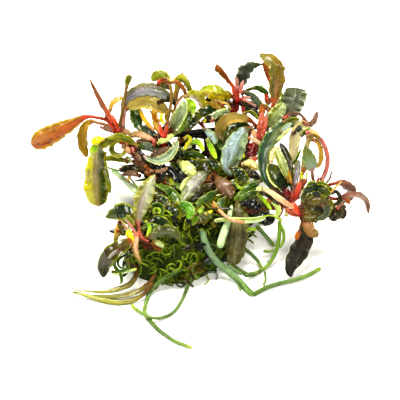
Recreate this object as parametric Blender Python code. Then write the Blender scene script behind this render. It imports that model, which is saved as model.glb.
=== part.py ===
"""A clump of bucephalandra, an aquarium plant, lying on a flat surface as it is sold.

Creeping rhizomes branch over a cushion of moss. Each ends in a red crown with a rosette of
narrow, arching leaves, and thick green roots trail from the clump over the surface.
Blender units are metres, +Z is up, and the clump rests on the plane z = 0.

Leaves, rhizomes and roots are laid out along the sight lines of the reference photograph, which
is 400 by 400 pixels: a place is a picture point and its real height above the surface in mm.
"""

import math
from dataclasses import dataclass

import bpy
import numpy as np

MM = 0.001

# The photograph: a long lens looks along +Y, down at the clump.
VIEW_ELEVATION = math.radians(42)
VIEW_DISTANCE = 500.0
VIEW_AIM = np.array([-1.8, 1.7, 12.0])
PICTURE_CENTRE = 200.0
MM_PER_PIXEL = 0.36

VIEW_FORWARD = np.array([0.0, math.cos(VIEW_ELEVATION), -math.sin(VIEW_ELEVATION)])
VIEW_UP = np.array([0.0, math.sin(VIEW_ELEVATION), math.cos(VIEW_ELEVATION)])
VIEW_RIGHT = np.array([1.0, 0.0, 0.0])
EYE = VIEW_AIM - VIEW_DISTANCE * VIEW_FORWARD

# Leaf sizes in mm.
STALK_RADIUS = 0.5
MARGIN_THICKNESS = 0.35
MIDRIB_THICKNESS = 0.75
TIP_HALF_WIDTH = 0.25
BLADE_SPREAD = 0.25  # share of the blade over which the round stalk flattens out
LEAF_STATIONS = 13

# Stem and root sizes in mm.
STEM_STATION_SPACING = 2.6
STEM_STATIONS_LEAST = 6
END_ROUNDING = 0.6

# Curves and shading.
CURVE_STEPS = 24  # between two points of a spine
SHARP_ANGLE = math.radians(50)

# The moss cushion, in mm; its outline on the surface goes round from the front left corner.
MOSS_CENTRE = (-3.0, -2.0)
MOSS_OUTLINE = [(-24, -27), (-10, -30), (3, -24.5), (12, -16), (18, -5), (21, 8), (14, 21), (0, 26),
                (-13, 21), (-17, 8), (-22, -6), (-28, -17)]
MOSS_HEIGHT = 15.5
MOSS_RIM = 1.5
MOSS_STEEPNESS = 0.8  # lower is steeper at the sides and flatter on top
MOSS_RINGS = 8
MOSS_SIDES = 28

# Each finish: red, green, blue, roughness.
FINISHES = {
    "dark_green": (0.055, 0.085, 0.035, 0.28),
    "grey_green": (0.20, 0.26, 0.17, 0.25),
    "olive": (0.23, 0.22, 0.05, 0.32),
    "golden": (0.55, 0.42, 0.13, 0.40),
    "yellow_green": (0.40, 0.42, 0.06, 0.35),
    "pale_green": (0.42, 0.50, 0.24, 0.35),
    "bronze": (0.24, 0.13, 0.07, 0.33),
    "orange": (0.50, 0.20, 0.05, 0.36),
    "tan": (0.58, 0.40, 0.24, 0.42),
    "rhizome": (0.09, 0.045, 0.04, 0.50),
    "crown": (0.45, 0.09, 0.06, 0.42),
    "root": (0.22, 0.34, 0.10, 0.35),
    "moss": (0.07, 0.13, 0.02, 0.75),
}


@dataclass
class Leaf:
    """One leaf, from its crown to its tip."""

    name: str
    spine: list  # (picture x, picture y, height in mm) from the stalk's foot to the tip
    width: float  # mm, at the widest place of the blade
    finish: str
    stalk: float = 0.25  # the stalk's share of the length
    turn: tuple = (0, 0)  # degrees by which the upper face looks away from the viewer, foot and tip
    cup: float = 18  # degrees by which each half of the blade bends down from the midrib
    widest: float = 0.5  # where along the blade it is widest
    blunt: float = 0.8  # the lower, the rounder the ends


LEAVES = [
    # The left rosette.
    Leaf("leaf_left_long", [
        (115.5, 128.2, 28.6), (108, 122.5, 30.8), (98, 119.3, 32), (87, 118.8, 32), (72, 125, 29.5),
        (56, 132.5, 26), (42, 140, 22.5), (31.5, 145.5, 20)],
        7.0, "orange", stalk=0.30, turn=(30, 5), cup=14, widest=0.72, blunt=0.6),
    Leaf("leaf_left_spike", [
        (117.5, 126.6, 29.5), (111, 117.5, 33), (103, 104.5, 38), (96, 91.5, 43), (89.5, 80, 47.5)],
        3.4, "bronze", stalk=0.05, turn=(75, 70), cup=35, widest=0.4),
    Leaf("leaf_left_tall", [
        (119.7, 125.8, 30.4), (121, 118.5, 34), (123, 109, 38), (125, 96, 42), (127, 85, 46),
        (129.5, 76, 49)],
        1.9, "olive", stalk=0.75, turn=(40, 20), widest=0.6),
    Leaf("leaf_left_arch_grey", [
        (122.3, 127.8, 28.8), (122, 117.5, 32.2), (122.6, 107.5, 36), (127, 99, 40), (136, 92.5, 43),
        (147, 90, 44.5), (158, 92, 44), (170, 97, 42)],
        5.6, "grey_green", stalk=0.30, turn=(25, 15), cup=20),
    Leaf("leaf_left_arch_yellow", [
        (123.2, 131, 27.3), (123.6, 122, 29.6), (124.3, 114, 32), (128, 107, 34.8), (137, 102, 37.8),
        (148, 102, 38.5), (159, 105, 37.5), (168, 110.5, 35)],
        3.9, "golden", stalk=0.30, turn=(150, 165), cup=20),
    Leaf("leaf_left_narrow", [
        (114.7, 131.3, 27.3), (108.5, 126, 27.5), (99, 123, 28.2), (91, 121.5, 28.3), (84.5, 126, 27.3),
        (81.5, 136, 24), (82.5, 147, 20), (87, 157, 16)],
        2.8, "golden", stalk=0.35, turn=(150, 160), cup=25),
    Leaf("leaf_left_drooping", [
        (137.5, 148, 24.5), (129, 141.5, 27.5), (118, 137.5, 30), (106, 138.8, 30.5),
        (98.5, 146.5, 27.5), (96, 160, 22), (96, 175, 16.5), (97, 190, 11), (99.5, 206, 5)],
        8.6, "dark_green", stalk=0.36, turn=(40, 0), cup=22, widest=0.62, blunt=0.7),
    # The upper left rosette.
    Leaf("leaf_top_hood", [
        (165.5, 127.8, 31.6), (169.5, 112, 39), (171.5, 96, 45), (169.5, 84, 49), (164, 76.5, 51),
        (157, 75, 51), (151.5, 80.5, 48.5)],
        4.6, "olive", stalk=0.55, turn=(30, 35), cup=20),
    Leaf("leaf_top_arch", [
        (169.4, 126.6, 32), (174.6, 110, 36.9), (177.3, 92, 43.5), (180, 79.5, 48.3), (185, 82.5, 47.5),
        (188.2, 91, 43.5), (188, 98, 40)],
        3.2, "olive", stalk=0.5, turn=(30, 40), cup=25),
    Leaf("leaf_middle_cupped", [
        (169.3, 133.3, 29), (174.8, 126, 33.4), (179.7, 116.7, 38), (183.5, 108, 41.8),
        (184, 100.5, 44)],
        5.2, "grey_green", stalk=0.12, turn=(-15, -25), cup=-22),
    Leaf("leaf_middle_lime", [
        (168.9, 136.6, 27.7), (179, 131.5, 29.5), (187.5, 121, 33), (190.5, 110, 36),
        (188.5, 101.5, 38)],
        3.6, "yellow_green", stalk=0.2, turn=(15, 15), cup=15),
    # The back rosette.
    Leaf("leaf_back_spike", [
        (235.3, 91.6, 36), (230, 83.5, 39.5), (225, 76.5, 42.5), (220.5, 71, 45), (215.5, 66, 47)],
        2.9, "bronze", stalk=0.25, turn=(40, 45), cup=30, widest=0.6, blunt=0.6),
    Leaf("leaf_back_grey", [
        (239.2, 91, 36), (240.8, 83.5, 39.3), (243.3, 76.5, 42.5), (247.5, 70, 45.5),
        (254.5, 66.3, 47.5), (261.5, 66, 48.3), (267, 66.5, 48)],
        4.0, "grey_green", stalk=0.15, turn=(10, 40), cup=15, widest=0.3),
    Leaf("leaf_back_yellow", [
        (233.6, 96.3, 33.8), (227, 94.5, 36.5), (217, 92.5, 38.5), (208, 91.8, 37.8), (200, 94, 35.5)],
        5.0, "yellow_green", stalk=0.1, turn=(20, 10), cup=25, blunt=0.6),
    Leaf("leaf_back_small", [
        (241.3, 94.3, 35.6), (249, 89.5, 37.6), (257, 88, 38.8), (263, 90.8, 38), (268.5, 95, 36)],
        2.5, "olive", stalk=0.4, turn=(30, 20), cup=20),
    # The upright rosette right of the middle.
    Leaf("leaf_tall_olive", [
        (264, 121.3, 34.2), (270.3, 111, 38.3), (274.3, 100, 42), (276, 88, 46.5), (277, 76, 51),
        (275.5, 65, 54.5), (269.5, 58.3, 56), (261, 54.5, 56)],
        5.2, "olive", stalk=0.27, turn=(10, 35), cup=22, widest=0.5, blunt=0.6),
    Leaf("leaf_golden_arch", [
        (257, 127.3, 33.1), (251.5, 121.5, 36), (244, 118, 38), (235, 117.2, 38.7),
        (226.5, 119.5, 37.3), (220.5, 126, 34), (219, 134, 29.5), (222.5, 141.5, 25.5)],
        4.2, "golden", stalk=0.12, turn=(165, 150), cup=22),
    Leaf("leaf_silver", [
        (255, 133.5, 31.3), (250, 129.2, 33.8), (243.5, 131.5, 34.6), (237.5, 140, 32.6),
        (233, 150, 29.6), (230, 160, 26.3), (229, 168, 23.6), (231.5, 175.5, 21)],
        7.6, "grey_green", stalk=0.16, turn=(10, 5), cup=18, widest=0.52),
    Leaf("leaf_pale_upright", [
        (266.5, 131, 32.2), (269.5, 124, 35), (275, 116, 38), (280.3, 109, 40.3), (284, 103, 42)],
        4.8, "pale_green", stalk=0.12, turn=(0, 10), cup=12),
    Leaf("leaf_wrinkled", [
        (265.8, 139.8, 29), (275, 130, 31.4), (284.5, 119, 35), (290.5, 108, 38.8), (294.7, 97, 42.3),
        (296, 87.5, 44.8)],
        6.4, "grey_green", stalk=0.42, turn=(10, 0), cup=-8, widest=0.68, blunt=0.45),
    # The right rosettes.
    Leaf("leaf_long_dark", [
        (289, 198.6, 20.6), (277, 192, 22.2), (266.5, 181.5, 25), (262, 167, 29), (263, 152, 33.3),
        (268.5, 139.5, 36.5), (277.5, 129, 39), (288.5, 122, 40.3), (299, 119, 40)],
        5.2, "dark_green", stalk=0.1, turn=(20, -10), cup=16),
    Leaf("leaf_tan_fold", [
        (301, 183.3, 24.7), (302.5, 168, 28.7), (305, 151, 33), (308, 136, 37.5), (305.5, 125.5, 40.3),
        (299, 126.5, 39.5), (294.5, 138, 36), (293.5, 151, 32), (294.5, 165.5, 27.5)],
        4.4, "tan", stalk=0.42, turn=(150, 170), cup=20),
    Leaf("leaf_glossy_dark", [
        (292, 193.3, 22.4), (285, 184.5, 25.5), (277, 175, 28.8), (268.5, 164, 31.5)],
        6.2, "dark_green", stalk=0.05, turn=(0, 0), cup=-15),
    Leaf("leaf_right_stalked", [
        (319.6, 186.6, 24), (325.5, 173.5, 30), (328.3, 161, 34.5), (326, 148, 38.7),
        (320, 137.5, 41.3), (312.5, 134.5, 41.5), (308, 141, 38.5), (307, 149, 35)],
        2.4, "bronze", stalk=0.62, turn=(30, 150), cup=20),
    Leaf("leaf_right_green", [
        (315.2, 188.6, 22.9), (313.2, 177, 28.5), (312, 166.5, 33), (308.5, 156, 37),
        (306.3, 146.3, 40.3)],
        4.6, "grey_green", stalk=0.38, turn=(5, 10), cup=-18),
    Leaf("leaf_right_hooked", [
        (322.6, 187.9, 23.4), (332, 183, 26), (340.5, 181.2, 27.5), (347, 185.2, 25.7),
        (350.5, 191, 22.3), (348.5, 201, 16.5)],
        2.5, "bronze", stalk=0.3, turn=(40, 60), cup=25),
    Leaf("leaf_right_tip", [
        (322.6, 193, 22), (332.5, 198.5, 20), (341, 197.6, 20.8), (350, 194.4, 23.8),
        (358.5, 195.2, 22.6), (365.5, 200.5, 18), (367.7, 211.5, 13)],
        2.0, "bronze", stalk=0.25, turn=(50, 60), cup=25),
    Leaf("leaf_curled_upper", [
        (310.3, 200.2, 20.3), (308, 193.5, 24.5), (311.5, 188.5, 26.2), (319, 187.5, 26.5),
        (326.5, 190, 25), (327, 197, 22)],
        4.2, "dark_green", stalk=0.05, turn=(35, 30), cup=20, blunt=0.5),
    Leaf("leaf_curled_lower", [
        (303.8, 209, 17.05), (308.8, 204.6, 21.6), (318, 202.5, 22.7), (325, 207, 20.5),
        (322, 214.5, 17), (314.5, 218.5, 15.3)],
        5.4, "olive", stalk=0.05, turn=(30, 20), cup=22, blunt=0.5),
    Leaf("leaf_hanging_dark", [
        (300.8, 215, 14.6), (303, 225, 13.8), (303.5, 234, 12), (301, 244, 9.5), (297.5, 254, 7),
        (293.3, 264, 4.5), (290.5, 271, 2.8), (291.5, 277, 1.5)],
        6.2, "dark_green", stalk=0.13, turn=(5, 10), cup=10, widest=0.55, blunt=0.6),
    Leaf("leaf_hanging_olive", [
        (304.8, 212.3, 15.6), (307, 222.5, 15.4), (309.5, 231, 14), (313.5, 234.5, 13),
        (319, 233.5, 13)],
        3.5, "bronze", stalk=0.3, turn=(0, 20), cup=20, blunt=0.5),
    Leaf("leaf_tan_strap", [
        (299.3, 209, 17.1), (289, 204.5, 21.2), (277.5, 197, 23.6), (268.5, 190.8, 24.2),
        (258.5, 189, 23)],
        1.9, "tan", stalk=0.1, turn=(20, 20), cup=20),
    # The front left rosette.
    Leaf("leaf_front_pale", [
        (139.5, 232, 17.5), (138.3, 222, 20.5), (139.8, 210, 24.5), (143.5, 197, 28.5),
        (148.8, 185, 31.5), (155, 174.5, 33)],
        6.2, "pale_green", stalk=0.2, turn=(5, -5), cup=14, widest=0.48),
    Leaf("leaf_front_glossy", [
        (135.6, 232.2, 17.3), (134.3, 221, 20.5), (129.5, 211.5, 22.8), (118.5, 210.5, 21.3),
        (107, 216, 17)],
        5.2, "dark_green", stalk=0.25, turn=(0, 10), cup=18, widest=0.45),
    Leaf("leaf_front_dark", [
        (135.7, 239.7, 15.9), (127.5, 241.5, 17.5), (117.5, 246.3, 17.3), (108.5, 255, 14.5),
        (103, 265.5, 9.5), (101.5, 276, 4.5)],
        5.4, "bronze", stalk=0.1, turn=(20, 10), cup=22),
    Leaf("leaf_front_grey", [
        (144.6, 238, 16.8), (152.5, 236.5, 18.5), (162, 232.5, 19.5), (171.5, 232.5, 19.3),
        (180.5, 238.5, 17.3)],
        4.6, "grey_green", stalk=0.12, turn=(25, 15), cup=20),
    # Two long leaves that lie low in front.
    Leaf("leaf_low_upper", [
        (136.5, 266, 6.2), (135.5, 276, 4.7), (128.5, 285, 3.7), (117, 290, 3.2), (103, 291.8, 3),
        (88, 290.8, 3), (74, 289.5, 3)],
        2.3, "golden", stalk=0.05, turn=(20, 20), cup=15, widest=0.35),
    Leaf("leaf_low_lower", [
        (155.5, 274, 5.6), (149.5, 284, 3.7), (139, 293, 1.9), (126, 298, 1.3), (112, 299, 1.2),
        (98, 298, 1.2), (84, 296, 1.1), (74, 292.5, 1.1)],
        3.9, "golden", stalk=0.08, turn=(25, 25), cup=8, widest=0.4),
    # Leaves over the middle of the clump.
    Leaf("leaf_centre_long", [
        (210, 171.8, 21.9), (202.5, 176, 23.8), (194.5, 183.5, 23), (187.5, 193, 20.8),
        (180.5, 204.5, 17.8)],
        4.3, "grey_green", stalk=0.1, turn=(0, 0), cup=20),
    Leaf("leaf_centre_brown", [
        (215, 175.5, 21.2), (220, 181.5, 22.3), (226, 189, 21.3), (231.5, 199, 18.5)],
        6.2, "bronze", stalk=0.1, turn=(0, 0), cup=18, widest=0.6),
    Leaf("leaf_centre_bowl", [
        (139.8, 154, 24.6), (147.5, 158, 24.3), (158, 161, 24.2), (167.5, 157.5, 26),
        (174.5, 149.5, 28.7), (178, 140.5, 31)],
        3.8, "grey_green", stalk=0.08, turn=(-20, -20), cup=-22),
    Leaf("leaf_hanging_front", [
        (249, 206, 15.6), (242.5, 208.5, 16.8), (239, 219, 15.5), (237.5, 233, 12.5), (236, 248, 8.8),
        (234, 265, 4.6)],
        6.6, "olive", stalk=0.12, turn=(0, 0), cup=10, widest=0.55, blunt=0.6),
]


@dataclass
class Stem:
    """One rhizome with its crown, or one root."""

    name: str
    spine: list  # (picture x, picture y, height in mm) from the foot to the tip
    radius: tuple  # mm, at the foot and at the tip
    finish: str
    sides: int = 8


STEMS = [
    # Rhizomes; each tip is the crown that carries a rosette.
    Stem("rhizome_left", [
        (168, 190, 14.3), (155, 178, 18), (143, 166, 21.5), (136, 156.5, 23.2), (128, 146.5, 24.6),
        (121, 137.5, 26.3), (118.9, 130, 28)],
        (1.3, 1.15), "rhizome"),
    Stem("rhizome_middle", [
        (185, 176, 15.8), (170, 157, 20.5), (163, 143, 25.5), (164, 136.5, 28.6), (165.5, 130.8, 31.2)],
        (1.3, 1.3), "crown"),
    Stem("rhizome_back", [
        (205.5, 171, 15.5), (214.5, 151, 17.8), (226, 127, 22.5), (233.5, 111, 29), (237.5, 95, 35.2)],
        (1.4, 1.3), "crown"),
    Stem("rhizome_twig", [
        (172, 149, 22), (180, 140.5, 22.3), (191, 136.5, 22.3), (204, 134.5, 21.2),
        (216.2, 139.6, 18.9)],
        (0.9, 0.7), "rhizome"),
    Stem("rhizome_tall", [
        (232, 190, 15.8), (243, 173, 19.3), (252, 156, 23.5), (259, 141, 28.3), (262.5, 125, 33.6)],
        (1.4, 1.4), "crown"),
    Stem("rhizome_centre", [
        (199, 196, 17), (206, 186, 18.6), (211.5, 175, 21)],
        (1.2, 0.9), "rhizome"),
    Stem("rhizome_right", [
        (243, 212, 13), (258, 208, 14.3), (274, 206, 15.8), (286, 203.5, 17.3), (294, 196.5, 20),
        (299, 186.5, 24)],
        (1.3, 1.6), "crown"),
    Stem("rhizome_far_right", [
        (292.3, 207.3, 16.5), (301.5, 210, 15.6), (311, 202, 18.3), (318.6, 190.3, 23)],
        (1.1, 1.3), "crown"),
    Stem("rhizome_front", [
        (160, 250, 12.1), (150.5, 246.5, 13.6), (142.5, 241.5, 15), (138.7, 235.5, 16.8)],
        (1.3, 1.1), "crown"),
    # Roots that trail over the surface.
    Stem("root_front_left", [
        (183, 268, 7.8), (174.5, 272.5, 6.6), (165, 278, 4.6), (155.5, 285.5, 2.4), (149.5, 294, 0.85),
        (146, 303, 0.66), (144.7, 311, 0.64), (148, 319, 0.64)],
        (0.62, 0.6), "root", 6),
    Stem("root_front_tip", [
        (148.9, 320.2, 0.64), (157, 327.5, 0.64), (166, 334.5, 0.64), (176, 341, 0.64),
        (192, 347.5, 0.6)],
        (0.6, 0.5), "root", 6),
    Stem("root_front_loop", [
        (193.5, 262, 8.9), (191.5, 272, 6), (188.5, 283, 2.8), (184, 293, 0.8), (179, 303, 0.6),
        (172, 312, 0.56), (163, 317.3, 0.9), (154, 318, 1.85), (146.5, 315.5, 2.05), (138.5, 311, 1.2),
        (131, 305, 0.6)],
        (0.5, 0.5), "root", 6),
    Stem("root_right_thick", [
        (204.5, 240, 14.3), (208.5, 250, 11.2), (213.5, 258, 8.2), (221.5, 266, 5), (231, 274, 2.7),
        (240, 282, 1.2), (247, 289.5, 0.9), (252.5, 296, 0.87)],
        (0.9, 0.75), "root", 6),
    Stem("root_right_long", [
        (255.3, 293, 0.74), (266, 287.3, 0.78), (280, 282.3, 0.95), (295, 279, 1.05),
        (308, 274.5, 0.9), (321, 268, 0.7)],
        (0.7, 0.6), "root", 6),
    Stem("root_ring_upper", [
        (279.5, 220.5, 13.7), (279.5, 232, 10.5), (278, 244, 7), (274.5, 255, 3.6), (268.5, 264.5, 1.4),
        (261.3, 270.3, 0.66)],
        (0.6, 0.6), "root", 6),
    Stem("root_ring_lower", [
        (260.2, 271.5, 0.8), (252, 275, 0.8), (244.5, 272.5, 0.9), (235.5, 267, 2.7),
        (227, 259.5, 5.4)],
        (0.75, 0.5), "root", 6),
    Stem("root_pale", [
        (213, 219.5, 15.4), (226, 217.5, 17.3), (240, 218.5, 18.2), (255, 219.5, 17.6),
        (268, 217.5, 16.2), (277.8, 217.8, 14.3)],
        (0.62, 0.6), "root", 6),
]


def on_sight_line(x, y, height):
    """The place at a height, in mm, that the photograph shows at picture point x, y."""
    across = (x - PICTURE_CENTRE) * MM_PER_PIXEL * VIEW_RIGHT
    up = (PICTURE_CENTRE - y) * MM_PER_PIXEL * VIEW_UP
    ray = VIEW_DISTANCE * VIEW_FORWARD + across + up
    return EYE + ray * (height - EYE[2]) / ray[2]


def unit(vector):
    return vector / np.linalg.norm(vector)


def smooth_route(points, stations):
    """Stations spaced evenly along a smooth curve through the points, and its tangents."""
    points = np.array(points)
    ends = [2 * points[0] - points[1], 2 * points[-1] - points[-2]]
    padded = np.vstack([ends[0], points, ends[1]])
    fine = []
    for i in range(len(points) - 1):
        a, b, c, d = padded[i:i + 4]
        for t in np.arange(CURVE_STEPS) / CURVE_STEPS:
            fine.append(0.5 * (2 * b + (c - a) * t + (2 * a - 5 * b + 4 * c - d) * t ** 2
                               + (3 * b - a - 3 * c + d) * t ** 3))
    fine.append(points[-1])
    fine = np.array(fine)
    length = np.concatenate([[0], np.cumsum(np.linalg.norm(np.diff(fine, axis=0), axis=1))])
    wanted = np.linspace(0, length[-1], stations)
    route = np.column_stack([np.interp(wanted, length, fine[:, k]) for k in range(3)])
    tangents = np.gradient(route, axis=0)
    return route, tangents / np.linalg.norm(tangents, axis=1)[:, None]


def sweep(name, loops, finish):
    """A closed solid through loops of points, in mm, with both ends filled."""
    sides = len(loops[0])
    vertices = [tuple(point * MM) for loop in loops for point in loop]
    faces = []
    for k in range(len(loops) - 1):
        for j in range(sides):
            a = k * sides + j
            b = k * sides + (j + 1) % sides
            faces.append((a, b, b + sides, a + sides))
    faces.append(tuple(reversed(range(sides))))
    faces.append(tuple(range((len(loops) - 1) * sides, len(loops) * sides)))
    mesh = bpy.data.meshes.new(name)
    mesh.from_pydata(vertices, [], faces)
    mesh.update()
    mesh.shade_smooth()
    mesh.set_sharp_from_angle(angle=SHARP_ANGLE)
    mesh.materials.append(finish_material(finish))
    body = bpy.data.objects.new(name, mesh)
    bpy.context.scene.collection.objects.link(body)
    return body


def finish_material(finish):
    if finish in bpy.data.materials:
        return bpy.data.materials[finish]
    material = bpy.data.materials.new(finish)
    material.use_nodes = True
    red, green, blue, roughness = FINISHES[finish]
    shader = material.node_tree.nodes["Principled BSDF"]
    shader.inputs["Base Color"].default_value = (red, green, blue, 1)
    shader.inputs["Roughness"].default_value = roughness
    return material


def leaf_half_width(leaf, u):
    """Half the blade's width at u, from 0 at its foot to 1 at its tip."""
    if u < leaf.widest:
        share = math.sin(math.pi / 2 * u / leaf.widest) ** leaf.blunt
        return STALK_RADIUS + (leaf.width / 2 - STALK_RADIUS) * share
    share = math.sin(math.pi / 2 * (1 - u) / (1 - leaf.widest)) ** leaf.blunt
    return TIP_HALF_WIDTH + (leaf.width / 2 - TIP_HALF_WIDTH) * share


def blend(low, high, t):
    t = min(max(t, 0), 1)
    return low + (high - low) * t * t * (3 - 2 * t)


def add_leaf(leaf):
    """A round stalk that spreads into a blade, folded along its midrib."""
    route, tangents = smooth_route([on_sight_line(*point) for point in leaf.spine], LEAF_STATIONS)
    loops = []
    for k, (place, along) in enumerate(zip(route, tangents)):
        share = k / (LEAF_STATIONS - 1)
        u = (share - leaf.stalk) / (1 - leaf.stalk)
        half = STALK_RADIUS if u <= 0 else leaf_half_width(leaf, u)
        spread = min(max(u / BLADE_SPREAD, 0), 1)
        midrib = blend(STALK_RADIUS, MIDRIB_THICKNESS / 2, spread)
        margin = blend(STALK_RADIUS / 2, MARGIN_THICKNESS / 2, spread)
        fold = math.radians(leaf.cup * spread)
        facing = unit(-VIEW_FORWARD + along * np.dot(VIEW_FORWARD, along))
        turn = math.radians(leaf.turn[0] + (leaf.turn[1] - leaf.turn[0]) * share)
        upper = facing * math.cos(turn) + np.cross(along, facing) * math.sin(turn)
        side = np.cross(along, upper)
        loop = []
        for across, lift in ((-1, 1), (0, 1), (1, 1), (1, -1), (0, -1), (-1, -1)):
            thickness = margin if across else midrib
            drop = abs(across) * half * math.sin(fold)
            loop.append(place + side * across * half * math.cos(fold) + upper * (lift * thickness - drop))
        loops.append(loop)
    return sweep(leaf.name, loops, leaf.finish)


def add_stem(stem):
    """A round stem or root that tapers from its foot to its tip, both rounded off."""
    points = [on_sight_line(*point) for point in stem.spine]
    length = sum(np.linalg.norm(np.subtract(a, b)) for a, b in zip(points, points[1:]))
    stations = max(STEM_STATIONS_LEAST, round(length / STEM_STATION_SPACING))
    route, tangents = smooth_route(points, stations)
    loops = []
    side = np.cross(tangents[0], VIEW_RIGHT + VIEW_UP)
    for k, (place, along) in enumerate(zip(route, tangents)):
        share = k / (stations - 1)
        radius = stem.radius[0] + (stem.radius[1] - stem.radius[0]) * share
        if k in (0, stations - 1):
            radius *= END_ROUNDING
        side = unit(side - along * np.dot(side, along))
        other = np.cross(along, side)
        angles = [2 * math.pi * (j + 0.5) / stem.sides for j in range(stem.sides)]
        loops.append([place + radius * (math.cos(a) * side + math.sin(a) * other) for a in angles])
    return sweep(stem.name, loops, stem.finish)


def moss_reach(angle):
    """How far the outline lies from the cushion's centre at an angle."""
    arms = np.array(MOSS_OUTLINE) - MOSS_CENTRE
    bearings = np.arctan2(arms[:, 1], arms[:, 0])
    order = np.argsort(bearings)
    lengths = np.linalg.norm(arms, axis=1)
    return np.interp(angle, bearings[order], lengths[order], period=2 * math.pi)


def moss_point(angle, level):
    """A point of the cushion's skin: level runs from 0 at the rim to 1 at the top."""
    reach = moss_reach(angle) * math.cos(level * math.pi / 2) ** MOSS_STEEPNESS
    x = MOSS_CENTRE[0] + reach * math.cos(angle)
    y = MOSS_CENTRE[1] + reach * math.sin(angle)
    z = MOSS_RIM + (MOSS_HEIGHT - MOSS_RIM) * math.sin(level * math.pi / 2)
    return np.array([x, y, z])


def add_moss():
    """The cushion of moss and root fibres that the plant stands on, with a flat underside."""
    angles = [2 * math.pi * j / MOSS_SIDES for j in range(MOSS_SIDES)]
    rim = [moss_point(angle, 0) for angle in angles]
    loops = [[point * (1, 1, 0) for point in rim], rim]
    for ring in range(1, MOSS_RINGS):
        level = ring / MOSS_RINGS
        loops.append([moss_point(angle, level) for angle in angles])
    return sweep("moss_cushion", loops, "moss")


for old in list(bpy.data.objects):
    bpy.data.objects.remove(old)
for leaf in LEAVES:
    add_leaf(leaf)
for stem in STEMS:
    add_stem(stem)
add_moss()
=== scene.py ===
"""A clump of bucephalandra as the photograph shows it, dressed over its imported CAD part.

Places on the plant are given as the photograph shows them: a picture point of the 400 by 400
photograph and the real height above the surface in mm. Lengths are in mm until a mesh is made.
"""

import math
import random
from collections import namedtuple

import bpy
import numpy as np
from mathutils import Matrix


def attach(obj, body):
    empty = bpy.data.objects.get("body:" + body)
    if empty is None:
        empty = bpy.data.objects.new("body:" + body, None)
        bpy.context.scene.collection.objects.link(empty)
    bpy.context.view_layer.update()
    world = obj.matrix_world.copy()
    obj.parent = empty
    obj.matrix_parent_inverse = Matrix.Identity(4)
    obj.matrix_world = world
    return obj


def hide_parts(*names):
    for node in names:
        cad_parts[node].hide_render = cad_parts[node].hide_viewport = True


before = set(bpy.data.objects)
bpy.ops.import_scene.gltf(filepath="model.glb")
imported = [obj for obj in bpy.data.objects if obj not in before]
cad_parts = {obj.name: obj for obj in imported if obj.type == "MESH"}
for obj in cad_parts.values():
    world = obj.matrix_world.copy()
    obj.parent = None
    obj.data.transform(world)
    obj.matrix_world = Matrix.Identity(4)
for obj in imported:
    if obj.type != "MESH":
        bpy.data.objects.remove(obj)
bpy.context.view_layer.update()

MM = 0.001
rng = random.Random(11)

# The photograph: a long lens looks along +Y, down at the clump.
VIEW_ELEVATION = math.radians(42)
VIEW_DISTANCE = 500.0
VIEW_AIM = np.array([-1.8, 1.7, 12.0])
PICTURE_CENTRE = 200.0
PICTURE_SIZE = 400
MM_PER_PIXEL = 0.36
SENSOR_WIDTH = 36.0

VIEW_FORWARD = np.array([0.0, math.cos(VIEW_ELEVATION), -math.sin(VIEW_ELEVATION)])
VIEW_UP = np.array([0.0, math.sin(VIEW_ELEVATION), math.cos(VIEW_ELEVATION)])
VIEW_RIGHT = np.array([1.0, 0.0, 0.0])
EYE = VIEW_AIM - VIEW_DISTANCE * VIEW_FORWARD

# Leaf sizes in mm.
STALK_RADIUS = 0.6
BLADE_THICKNESS = 0.32
TIP_HALF_WIDTH = 0.15
BLADE_SPREAD = 0.2  # share of the blade over which the round stalk flattens out

# The moss in mm, a little inside the part's cushion on the right.
MOSS_CENTRE = (-3.0, -2.0)
MOSS_OUTLINE = [(-24, -27), (-10, -30), (2, -24), (8, -16), (13.5, -5), (17, 8), (13, 21), (0, 26),
                (-13, 21), (-17, 8), (-22, -6), (-28, -17)]
MOSS_HEIGHT = 15.5
MOSS_RIM = 1.5
MOSS_STEEPNESS = 0.8

# The light is stronger than what a screen shows as white, and the wet gloss adds a little white
# everywhere, so the plant's own colours are darker than those the photograph shows.
COLOUR_GAIN = 0.70
VEIL = 0.017

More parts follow.
